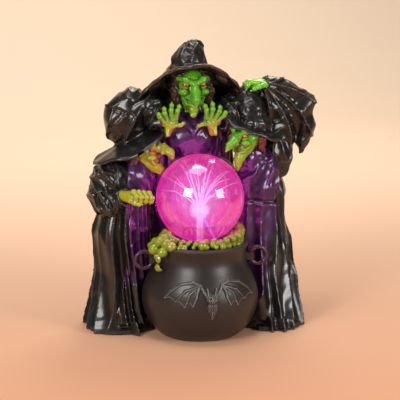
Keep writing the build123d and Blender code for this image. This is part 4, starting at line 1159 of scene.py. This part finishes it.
def foam_overflow():
    """Clump that climbs the left of the globe and drips over the lip, from the construction's box."""
    low, high = node_box("overflow_foam")
    width, depth, height = high - low
    clump = [
        (0.62, 0.50, 0.90, 4.4), (0.86, 0.62, 0.97, 3.6), (0.70, 0.20, 0.78, 4.6), (0.45, 0.40, 0.82, 4.4),
        (0.30, 0.62, 0.80, 3.7), (0.92, 0.12, 0.70, 4.4), (0.20, 0.42, 0.62, 4.8), (0.52, 0.12, 0.56, 4.4),
        (0.46, 0.34, 0.34, 4.2), (0.34, 0.36, 0.42, 3.0), (0.42, 0.36, 0.10, 3.9), (0.60, 0.30, 0.22, 2.6),
        (0.78, 0.86, 0.88, 3.4), (1.00, 0.40, 0.86, 3.4), (0.12, 0.62, 0.70, 3.2),
    ]
    return [(low[0] + u * width, low[1] + v * depth, low[2] + w * height, r) for u, v, w, r in clump]


# ------------------------------------------------------------------ operators
class WitchPiece:
    """Shared settings of the operators that make pieces."""

    bl_options = {"REGISTER", "UNDO"}


class WITCH_OT_robes(WitchPiece, bpy.types.Operator):
    """Sculpt the cloaks and gowns of the three witches"""

    bl_idname = "witch.robes"
    bl_label = "Robes"

    def execute(self, context):
        step = clay().robe_step
        # cloak ridge colour: dry-brush paint and a painted highlight
        black = black_resin("cloak_black", tuple(paint().cloak), (0.14, 0.13, 0.125))
        cloak, gown = tuple(paint().cloak), tuple(paint().gown)
        purple = pearl_gown("gown_purple", gown, 0.040, cloak)
        left_purple = pearl_gown("left_gown_purple", gown, 0.056, cloak)
        right_purple = pearl_gown("right_gown_purple", gown, 0.040, cloak, 0.294, 0.066, 0.109)
        jobs = (
            ("rear_cloak_cast", rear_cloak_field, ("rear_robe",), black, "black_resin", (-64, 2, 0),
             (56, 80, 206)),
            ("rear_gown_cast", rear_gown_field, ("rear_gown",), purple, "purple_resin", (-45, -4, 76),
             (34, 36, 190)),
            ("left_cloak_cast", left_cloak_field, ("left_cloak",), black, "black_resin", (-107, -36, 0),
             (-32, 54, 156)),
            ("left_gown_cast", left_gown_field, ("left_gown",), left_purple, "purple_resin", (-76, -36, 8),
             (-34, 6, 156)),
            ("right_cloak_cast", right_cloak_field, ("right_cloak",), black, "black_resin", (20, -49, 0),
             (98, 52, 158)),
            ("right_gown_cast", right_gown_field, ("right_gown",), right_purple, "purple_resin",
             (16, -46, 8), (84, 10, 160)),
        )
        for name, field, nodes, material, slot, low, high in jobs:
            coarser = 1.2 if name == "rear_cloak_cast" else 1.0
            sculpt(name, field, low, high, step * coarser, material, nodes)
        return {"FINISHED"}


class WITCH_OT_heads(WitchPiece, bpy.types.Operator):
    """Sculpt the heads with their eyes, lids and hair"""

    bl_idname = "witch.heads"
    bl_label = "Heads"

    def execute(self, context):
        step = clay().face_step
        green, yellow = tuple(paint().green), tuple(paint().yellow)
        # painted shade colours for the creases of the faces
        dark_crease_shade = (0.006, 0.012, 0.003)
        plum_crease_shade = (0.045, 0.012, 0.02)
        skins = {
            "rear": witch_skin("rear_skin", green, (0.20, 0.34, 0.010), dark_crease_shade, 0.200, 0.186),
            "left": witch_skin("left_skin", (0.20, 0.20, 0.01), yellow, plum_crease_shade, 0.165, 0.145, 2, 30.0),
            "right": witch_skin("right_skin", green, (0.26, 0.36, 0.008), dark_crease_shade, 0.168, 0.146),
        }
        hairs = {"rear": (0.035, 0.014, 0.010), "left": (0.05, 0.02, 0.01), "right": (0.11, 0.012, 0.010)}
        for who, face in FACES.items():
            reach = 36 * face.size
            low = face.middle - reach
            high = face.middle + np.array([reach, reach * 0.8, 22])
            sculpt(f"{who}_head_cast", head_field(who), low, high, step, skins[who],
                   (f"{who}_head",))
            ahead = face.world((0, -1, 0)) - face.middle
            ahead = ahead / np.linalg.norm(ahead)
            look = [ahead + np.array([0, 0, -0.15])] * 2
            eye = witch_eye(f"{who}_eye", eye_places(who), look, EYE_R * face.size)
            places = np.array(eye_places(who))
            sculpt(f"{who}_eyes", eyes_field(who), places.min(0) - 3, places.max(0) + 3, 0.22 * MM, eye)
            sculpt(f"{who}_eyelids", lids_field(who), places.min(0) - 4, places.max(0) + 4, 0.25 * MM,
                   skins[who])
            hair = strands(f"{who}_hair_paint", hairs[who], tone(hairs[who], 3.2))
            low = face.middle - 20
            high = face.middle + np.array([20, 22, 18])
            sculpt(f"{who}_hair_cast", hair_field(who), low, high, 0.5 * MM, hair,
                   (f"{who}_hair",))
        return {"FINISHED"}


class WITCH_OT_hats(WitchPiece, bpy.types.Operator):
    """Sculpt the three pointed hats"""

    bl_idname = "witch.hats"
    bl_label = "Hats"

    def execute(self, context):
        step = clay().robe_step * 0.8
        # hat ridge colours: dry-brush paint and a painted highlight
        felt = black_resin("hat_black", tuple(paint().cloak), (0.17, 0.075, 0.045), 10.0, 0.36)
        plain = black_resin("side_hat_black", tuple(paint().cloak), (0.13, 0.12, 0.115), 8.0, 0.28)
        sculpt("rear_hat_cast", rear_hat_field, (-60, -14, 190), (46, 58, 252), step, felt,
               ("rear_hat",))
        sculpt("left_hat_cast", left_hat_field, (-100, -18, 140), (-22, 42, 212), step, plain,
               ("left_hat",))
        sculpt("right_hat_cast", right_hat_field, (12, -22, 156), (82, 34, 214), step, plain,
               ("right_hat",))
        return {"FINISHED"}


class WITCH_OT_sleeves(WitchPiece, bpy.types.Operator):
    """Sculpt the sleeves"""

    bl_idname = "witch.sleeves"
    bl_label = "Sleeves"

    def execute(self, context):
        step = clay().robe_step * 0.85
        # sleeve ridge colour: dry-brush paint and a painted highlight
        black = black_resin("sleeve_black", tuple(paint().cloak), (0.15, 0.14, 0.135), 9.0, 0.28)
        jobs = (
            ("rear_left_sleeve", rear_sleeve_field(-1), (-62, -10, 166), (-10, 42, 208)),
            ("rear_right_sleeve", rear_sleeve_field(1), (-4, -10, 166), (48, 42, 208)),
            ("left_sleeve", left_sleeve_field, (-104, -32, 92), (-56, 32, 154)),
            ("right_sleeve", right_sleeve_field, (52, -6, 122), (108, 38, 220)),
        )
        for node, field, low, high in jobs:
            sculpt(f"{node}_cast", field, low, high, step, black, (node,))
        return {"FINISHED"}


class WITCH_OT_hands(WitchPiece, bpy.types.Operator):
    """Sculpt the hands"""

    bl_idname = "witch.hands"
    bl_label = "Hands"

    def execute(self, context):
        step = clay().face_step
        green, yellow = tuple(paint().green), tuple(paint().yellow)
        # painted shade colour for the creases of the hands; the fist's brown below is painted shade too
        crease_shade = (0.008, 0.014, 0.003)
        rear = witch_skin("rear_hand_skin", green, yellow, crease_shade, 0.186, 0.176)
        fist = witch_skin("fist_skin", (0.36, 0.38, 0.02), yellow, (0.03, 0.02, 0.01), 0.115, 0.128)
        high_hand = witch_skin("raised_hand_skin", green, (0.20, 0.56, 0.02), crease_shade, 0.205, 0.215)
        jobs = (
            ("rear_left_hand", rear_hand_field(-1), rear, "green_skin", (-46, -16, 164), (-16, 8, 206)),
            ("rear_right_hand", rear_hand_field(1), rear, "green_skin", (-10, -16, 164), (28, 8, 206)),
            ("left_fist", left_fist_field, fist, "yellow_skin", (-78, -42, 110), (-44, -8, 134)),
            ("right_raised_hand", right_hand_field, high_hand, "green_skin", (36, 0, 198), (76, 30, 220)),
        )
        for node, field, material, slot, low, high in jobs:
            sculpt(f"{node}_cast", field, low, high, step, material, (node,))
        return {"FINISHED"}


class WITCH_OT_cauldron(WitchPiece, bpy.types.Operator):
    """Paint the cauldron and sculpt its bat and foam"""

    bl_idname = "witch.cauldron"
    bl_label = "Cauldron, bat and foam"

    def execute(self, context):
        foam = lime_foam("lime_foam", tuple(paint().foam))
        dress("cauldron", cauldron_black("cauldron_black"))
        # the rings' pink ridge colour is a painted highlight of the globe's glow
        ring = dry_brush_and_highlight("ring_paint_and_highlight", (0.022, 0.009, 0.018), (0.34, 0.12, 0.20), 9.0, 0.24)
        dress("cauldron_ring_left", ring)
        dress("cauldron_ring_right", ring)
        silver = dry_brush_and_highlight("bat_paint", (0.012, 0.011, 0.011), (0.26, 0.25, 0.24), 16.0, 0.34)
        low, high = node_box("bat_relief")
        sculpt("bat_cast", bat_field, low - 1.5, high + 2, 0.45 * MM, silver, ("bat_relief",))
        low, high = node_box("brew_foam")
        sculpt("foam_ring_cast", bubbles(foam_ring()), low - 1, high + np.array([1, 1, 7]), 0.6 * MM, foam,
               ("brew_foam",))
        low, high = node_box("overflow_foam")
        sculpt("foam_overflow_cast", bubbles(foam_overflow()), low - 3, high + 3, 0.5 * MM, foam,
               ("overflow_foam",))
        return {"FINISHED"}


def dress(node, material):
    """Gives a construction node its finish."""
    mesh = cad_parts[node].data
    mesh.materials.clear()
    mesh.materials.append(material)


def glass_material():
    s = Surface("clear_glass")
    edge = s.add("LayerWeight", None, {"Blend": 0.32}, "Fresnel")
    clear = s.add("BsdfTransparent", None, {"Color": (1.0, 0.90, 0.98)})
    shine = s.add("BsdfPrincipled", None,
                  {"Base Color": (1.0, 0.75, 0.92), "Roughness": 0.03, "Metallic": 1.0})
    return s.finish(s.add("MixShader", None, {0: (edge * 0.40 + 0.02).clamp(), 1: clear, 2: shine}))


def gas_material():
    """Glowing gas: a hot rim, streaks that rise from the electrode, and a clearer middle."""
    s = Surface("glowing_gas")
    origin = tuple(GLOBE * MM)
    away = s.add("VectorMath", {"operation": "SUBTRACT"}, {0: s.place(), 1: origin})
    x, y, z = s.split(away)
    turn = x.math("ARCTAN2", x, y)
    rise = z * (1.0 / (GLOBE_R * MM))
    fan = s.add("CombineXYZ", None, {"X": turn * 3.4, "Y": rise * 1.3, "Z": 0.3})
    streak = s.noise(2.6, 4, 0.62, fan, 0.8)
    cloud = s.noise(42, 4, 0.6, None, 0.6)
    glow = tuple(paint().glow)
    facing = s.add("LayerWeight", None, {"Blend": 0.5}, "Facing")
    colour = s.mix(((cloud - 0.35) * 2.0).clamp(), glow, (0.90, 0.045, 0.62))
    colour = s.mix(((streak - 0.54) * 6.0).clamp() * 0.8, colour, (1.0, 0.36, 0.95))
    colour = s.mix(((0.43 - streak) * 6.0).clamp() * 0.7, colour, (0.50, 0.015, 0.42))
    colour = s.mix(((1.0 - facing) ** 7.0) * 0.75, colour, (0.92, 0.50, 1.0))
    light = s.add("Emission", None, {"Color": colour, "Strength": 1.0})
    clear = s.add("BsdfTransparent", None, {"Color": (1.0, 1.0, 1.0)})
    veil = (0.55 + 0.36 * facing + 0.9 * (streak - 0.5) + 0.35 * (cloud - 0.5)).clamp()
    return s.finish(s.add("MixShader", None, {0: veil, 1: clear, 2: light}))


def light_material(name, colour, strength, soft=None):
    s = Surface(name)
    cloud = s.noise(300, 3, 0.6)
    tint = s.mix(cloud, tone(colour, 0.85), colour)
    light = s.add("Emission", None, {"Color": tint, "Strength": strength})
    if soft is None:
        return s.finish(light)
    facing = 1.0 - s.add("LayerWeight", None, {"Blend": 0.5}, "Facing")
    clear = s.add("BsdfTransparent", None, {"Color": (1.0, 1.0, 1.0)})
    return s.finish(s.add("MixShader", None, {0: ((facing ** 3.2) * soft).clamp(), 1: clear, 2: light}))


POST_TOP = node_box("electrode_post")[1][2]
FILAMENTS = 19
FILAMENT_R = 0.55
STREAMER_R = 1.3
GAS_R = GLOBE_R - 2.2     # inside the glass and clear of it


def filament_paths():
    """Arcs of light that leave the electrode's dome and bend up to the glass."""
    dice = np.random.default_rng(12)
    dome = np.array([GLOBE[0], GLOBE[1], POST_TOP - 3.0])
    paths = []
    for i in range(FILAMENTS):
        turn = 2 * math.pi * i / FILAMENTS + dice.uniform(-0.2, 0.2)
        lift = dice.uniform(0.12, 1.25)
        way = np.array([math.cos(turn) * math.cos(lift), math.sin(turn) * math.cos(lift), math.sin(lift)])
        end = GLOBE + way * (GLOBE_R - 3.0)
        side = np.cross(way, [0.2, 0.1, 1.0])
        bend = dice.uniform(-5, 5)
        points = []
        for t in np.linspace(0, 1, 12):
            drift = side * bend * math.sin(math.pi * t) + dice.normal(size=3) * 0.35 * math.sin(math.pi * t)
            points.append(dome * (1 - t) + end * t + drift + np.array([0, 0, 5.0 * math.sin(math.pi * t)]))
        paths.append(points)
    return paths


def tube(name, paths, radii, material):
    """Round tubes along paths, joined into one piece."""
    points, quads = [], []
    sides = 8
    for path, radius in zip(paths, radii):
        path = np.array(path)
        base = len(points)
        ahead = np.gradient(path, axis=0)
        ahead /= np.linalg.norm(ahead, axis=1)[:, None]
        across = np.cross(ahead, [0.13, 0.31, 0.94])
        across /= np.linalg.norm(across, axis=1)[:, None]
        up = np.cross(ahead, across)
        for i, spot in enumerate(path):
            size = radius * (1.0 - 0.55 * i / (len(path) - 1))
            for k in range(sides):
                turn = 2 * math.pi * k / sides
                points.append(spot + size * (math.cos(turn) * across[i] + math.sin(turn) * up[i]))
        for i in range(len(path) - 1):
            for k in range(sides):
                a, b = base + i * sides + k, base + i * sides + (k + 1) % sides
                quads.append((a, b, b + sides, a + sides))
    return make_piece(name, np.array(points), np.array(quads), material)


class WITCH_OT_globe(WitchPiece, bpy.types.Operator):
    """Light the plasma globe: glass, gas, electrode and filaments"""

    bl_idname = "witch.globe"
    bl_label = "Plasma globe"

    def execute(self, context):
        dress("globe_glass", glass_material())
        dress("electrode_post", light_material("lit_post", (1.0, 0.55, 0.95), 1.5, 0.75))
        dress("electrode_core", light_material("lit_core", (1.0, 0.82, 1.0), 2.2))
        dress("globe_socket", moulded("socket_black", (0.02, 0.02, 0.02)))
        dress("globe_gasket", moulded("gasket_black", (0.012, 0.012, 0.012), 0.8, 900, 0.5))
        sculpt("plasma_gas", lambda g: ball(g, GLOBE, GAS_R), GLOBE - GAS_R - 1, GLOBE + GAS_R + 1,
               1.4 * MM, gas_material())
        dome = np.array([GLOBE[0], GLOBE[1], POST_TOP - 4])
        sculpt("electrode_glow", lambda g: ball(g, dome, 9.5) + 0.4 * ripple(g, 5, 6), dome - 12, dome + 12,
               0.8 * MM, light_material("dome_glow", (1.0, 0.75, 1.0), 2.2, 0.8))
        paths = filament_paths()
        tube("plasma_filaments", paths, [FILAMENT_R] * len(paths),
             light_material("filament_light", (0.95, 0.62, 1.0), 1.7))
        blue = [[dome + np.array([0, -2, -2]), dome + np.array([4, -10, -10]), dome + np.array([9, -14, -20]),
                 dome + np.array([12, -15, -27])]]
        tube("plasma_streamer", blue, [STREAMER_R], light_material("violet_light", (0.25, 0.22, 1.0), 2.4))
        lamp = bpy.data.lights.new("globe_light", "POINT")
        lamp.energy = 0.30
        lamp.color = (1.0, 0.16, 0.62)
        lamp.shadow_soft_size = 30 * MM
        lamp_object = bpy.data.objects.new("globe_light", lamp)
        lamp_object.location = GLOBE * MM
        bpy.context.scene.collection.objects.link(lamp_object)
        return {"FINISHED"}


class WITCH_OT_workings(WitchPiece, bpy.types.Operator):
    """Finish the base, the battery box, the switch panel and the driver"""

    bl_idname = "witch.workings"
    bl_label = "Base and workings"

    def execute(self, context):
        steel = turned_metal("screw_steel", (0.55, 0.55, 0.56))
        black = moulded("base_black", (0.018, 0.018, 0.018), 0.55)
        finishes = {
            "base_plate": black, "battery_door": black,
            "switch_panel": moulded("panel_black", (0.02, 0.02, 0.02), 0.45),
            "selector_switch": moulded("switch_black", (0.015, 0.015, 0.015), 0.4),
            "selector_knob": moulded("knob_grey", (0.42, 0.42, 0.40), 0.35, 1200, 0.15, 0.2),
            "power_jack": moulded("jack_black", (0.012, 0.012, 0.012), 0.3, 1200, 0.1, 0.3),
            "microphone": turned_metal("mic_can", (0.6, 0.6, 0.62)),
            "battery_cells": moulded("cell_jacket", (0.05, 0.06, 0.075), 0.25, 700, 0.1, 0.5, 0.4),
            "contact_springs": turned_metal("spring_nickel", (0.66, 0.65, 0.62)),
            "contact_plates": turned_metal("contact_nickel", (0.64, 0.63, 0.60)),
            "driver_board": circuit_board("green_board"),
            "flyback_transformer": moulded("winding_tape", (0.55, 0.38, 0.04), 0.3, 500, 0.2, 0.4),
            "board_capacitors": moulded("capacitor_sleeve", (0.02, 0.03, 0.12), 0.3, 1500, 0.05, 0.5),
            "power_transistor": moulded("chip_black", (0.012, 0.012, 0.012), 0.5, 2500, 0.2),
            "heat_sink": moulded("sink_metal", (0.6, 0.6, 0.62), 0.4, 1800, 0.3, 0.0, 1.0),
            "high_voltage_lead": moulded("silicone_red", (0.5, 0.02, 0.015), 0.45, 1500, 0.1),
            "supply_leads": moulded("lead_red", (0.45, 0.015, 0.012), 0.35, 1500, 0.08, 0.3),
            "battery_leads": moulded("lead_dark", (0.03, 0.03, 0.03), 0.35, 1500, 0.08, 0.3),
        }
        for node in ("socket_screws", "board_screws", "base_screws", "door_screw", "panel_screws",
                     "hinge_pin"):
            finishes[node] = steel
        for node, material in finishes.items():
            dress(node, material)
        return {"FINISHED"}


class WITCH_OT_stage(WitchPiece, bpy.types.Operator):
    """Set the floor, the soft lights and the camera"""

    bl_idname = "witch.stage"
    bl_label = "Stage"

    def execute(self, context):
        scene = context.scene
        low, high = (np.array(corner) for corner in CAD_BOX)
        middle = (low + high) / 2
        make_floor()
        world = bpy.data.worlds.new("soft_studio")
        world.use_nodes = True
        back = world.node_tree.nodes["Background"]
        back.inputs[0].default_value = (1.0, 0.90, 0.82, 1.0)
        back.inputs[1].default_value = 0.16
        scene.world = world
        lights = (
            ("key_light", (-0.72, -0.80, 0.42), 0.42, 8.5, (1.0, 0.97, 0.94)),
            ("fill_light", (0.62, -0.72, 0.26), 0.32, 4.5, (1.0, 0.96, 0.93)),
            ("rim_light", (0.35, 0.75, 0.85), 0.50, 5.0, (1.0, 0.93, 0.88)),
            ("top_light", (-0.10, -0.10, 1.10), 0.55, 5.0, (1.0, 0.97, 0.94)),
            ("backdrop_light", (0.0, 0.55, 1.15), 0.90, 13.0, (1.0, 0.97, 0.93)),
        )
        for name, place, size, power, colour in lights:
            lamp = bpy.data.lights.new(name, "AREA")
            lamp.size = size
            lamp.energy = power
            lamp.color = colour
            lamp_object = bpy.data.objects.new(name, lamp)
            lamp_object.location = Vector(middle) + Vector(place)
            aim = Vector((0, 0.9, -0.35)) if name == "backdrop_light" else -Vector(place)
            lamp_object.rotation_euler = aim.to_track_quat("-Z", "Y").to_euler()
            scene.collection.objects.link(lamp_object)
        camera = bpy.data.cameras.new("front_camera")
        camera.lens = 157.6
        camera.sensor_width = 36
        camera_object = bpy.data.objects.new("front_camera", camera)
        azimuth, elevation, distance = math.radians(-11), math.radians(11), 1.5
        target = Vector((GLOBE[0] * MM, GLOBE[1] * MM, LOOK_HEIGHT))
        away = Vector((math.sin(azimuth) * math.cos(elevation), -math.cos(azimuth) * math.cos(elevation),
                       math.sin(elevation)))
        camera_object.location = target + away * distance
        camera_object.rotation_euler = (-away).to_track_quat("-Z", "Y").to_euler()
        scene.collection.objects.link(camera_object)
        scene.camera = camera_object
        scene.view_settings.view_transform = "Standard"
        return {"FINISHED"}


LOOK_HEIGHT = 0.117     # where the camera looks, in metres above the floor


def make_floor():
    """Pale floor that curves up into a backdrop."""
    rows = [(-2.2, 0.0), (1.2, 0.0)]
    for i in range(1, 17):
        turn = math.pi / 2 * i / 16
        rows.append((1.2 + 0.6 * math.sin(turn), 0.6 - 0.6 * math.cos(turn)))
    rows.append((1.8, 3.0))
    points, quads = [], []
    for y, z in rows:
        points += [(-3000, y * 1000, z * 1000), (3000, y * 1000, z * 1000)]
    for i in range(len(rows) - 1):
        quads.append((2 * i, 2 * i + 1, 2 * i + 3, 2 * i + 2))
    s = Surface("pale_floor")
    cloud = s.noise(3.0, 3)
    _, y, z = s.split(s.place())
    # painted light falloff: the floor darker orange at the front, lighter cream towards the back and up the
    # backdrop
    painted_light_falloff = ((y + 0.5) * 0.55 + z * 0.5 + 0.06 * cloud).clamp()
    colour = s.mix(painted_light_falloff, (0.60, 0.235, 0.095), (0.98, 0.80, 0.62))
    material = s.resin(colour, 0.75, s.bump(s.noise(400, 3), 0.05))
    mesh = bpy.data.meshes.new("floor")
    mesh.from_pydata([tuple(c * MM for c in p) for p in points], [], quads)
    mesh.materials.append(material)
    for face in mesh.polygons:
        face.use_smooth = True
    floor = bpy.data.objects.new("floor", mesh)
    bpy.context.scene.collection.objects.link(floor)


STEPS = (
    WITCH_OT_stage, WITCH_OT_cauldron, WITCH_OT_globe, WITCH_OT_robes, WITCH_OT_sleeves, WITCH_OT_hats,
    WITCH_OT_heads, WITCH_OT_hands, WITCH_OT_workings,
)


class WITCH_PT_panel(bpy.types.Panel):
    """Sizes, colours and steps of the witch group"""

    bl_label = "Witches"
    bl_idname = "WITCH_PT_panel"
    bl_space_type = "VIEW_3D"
    bl_region_type = "UI"
    bl_category = "Witches"

    def draw(self, context):
        for group in (context.scene.witch_clay, context.scene.witch_paint):
            for name in group.__annotations__:
                self.layout.prop(group, name)
        for step in STEPS:
            self.layout.operator(step.bl_idname)


CLASSES = (WITCH_PG_clay, WITCH_PG_paint, *STEPS, WITCH_PT_panel)


def register():
    for item in CLASSES:
        bpy.utils.register_class(item)
    bpy.types.Scene.witch_clay = bpy.props.PointerProperty(type=WITCH_PG_clay)
    bpy.types.Scene.witch_paint = bpy.props.PointerProperty(type=WITCH_PG_paint)


def unregister():
    del bpy.types.Scene.witch_clay
    del bpy.types.Scene.witch_paint
    for item in reversed(CLASSES):
        bpy.utils.unregister_class(item)


def main():
    register()
    for step in STEPS:
        group, name = step.bl_idname.split(".")
        getattr(getattr(bpy.ops, group), name)()


if __name__ == "__main__":
    main()
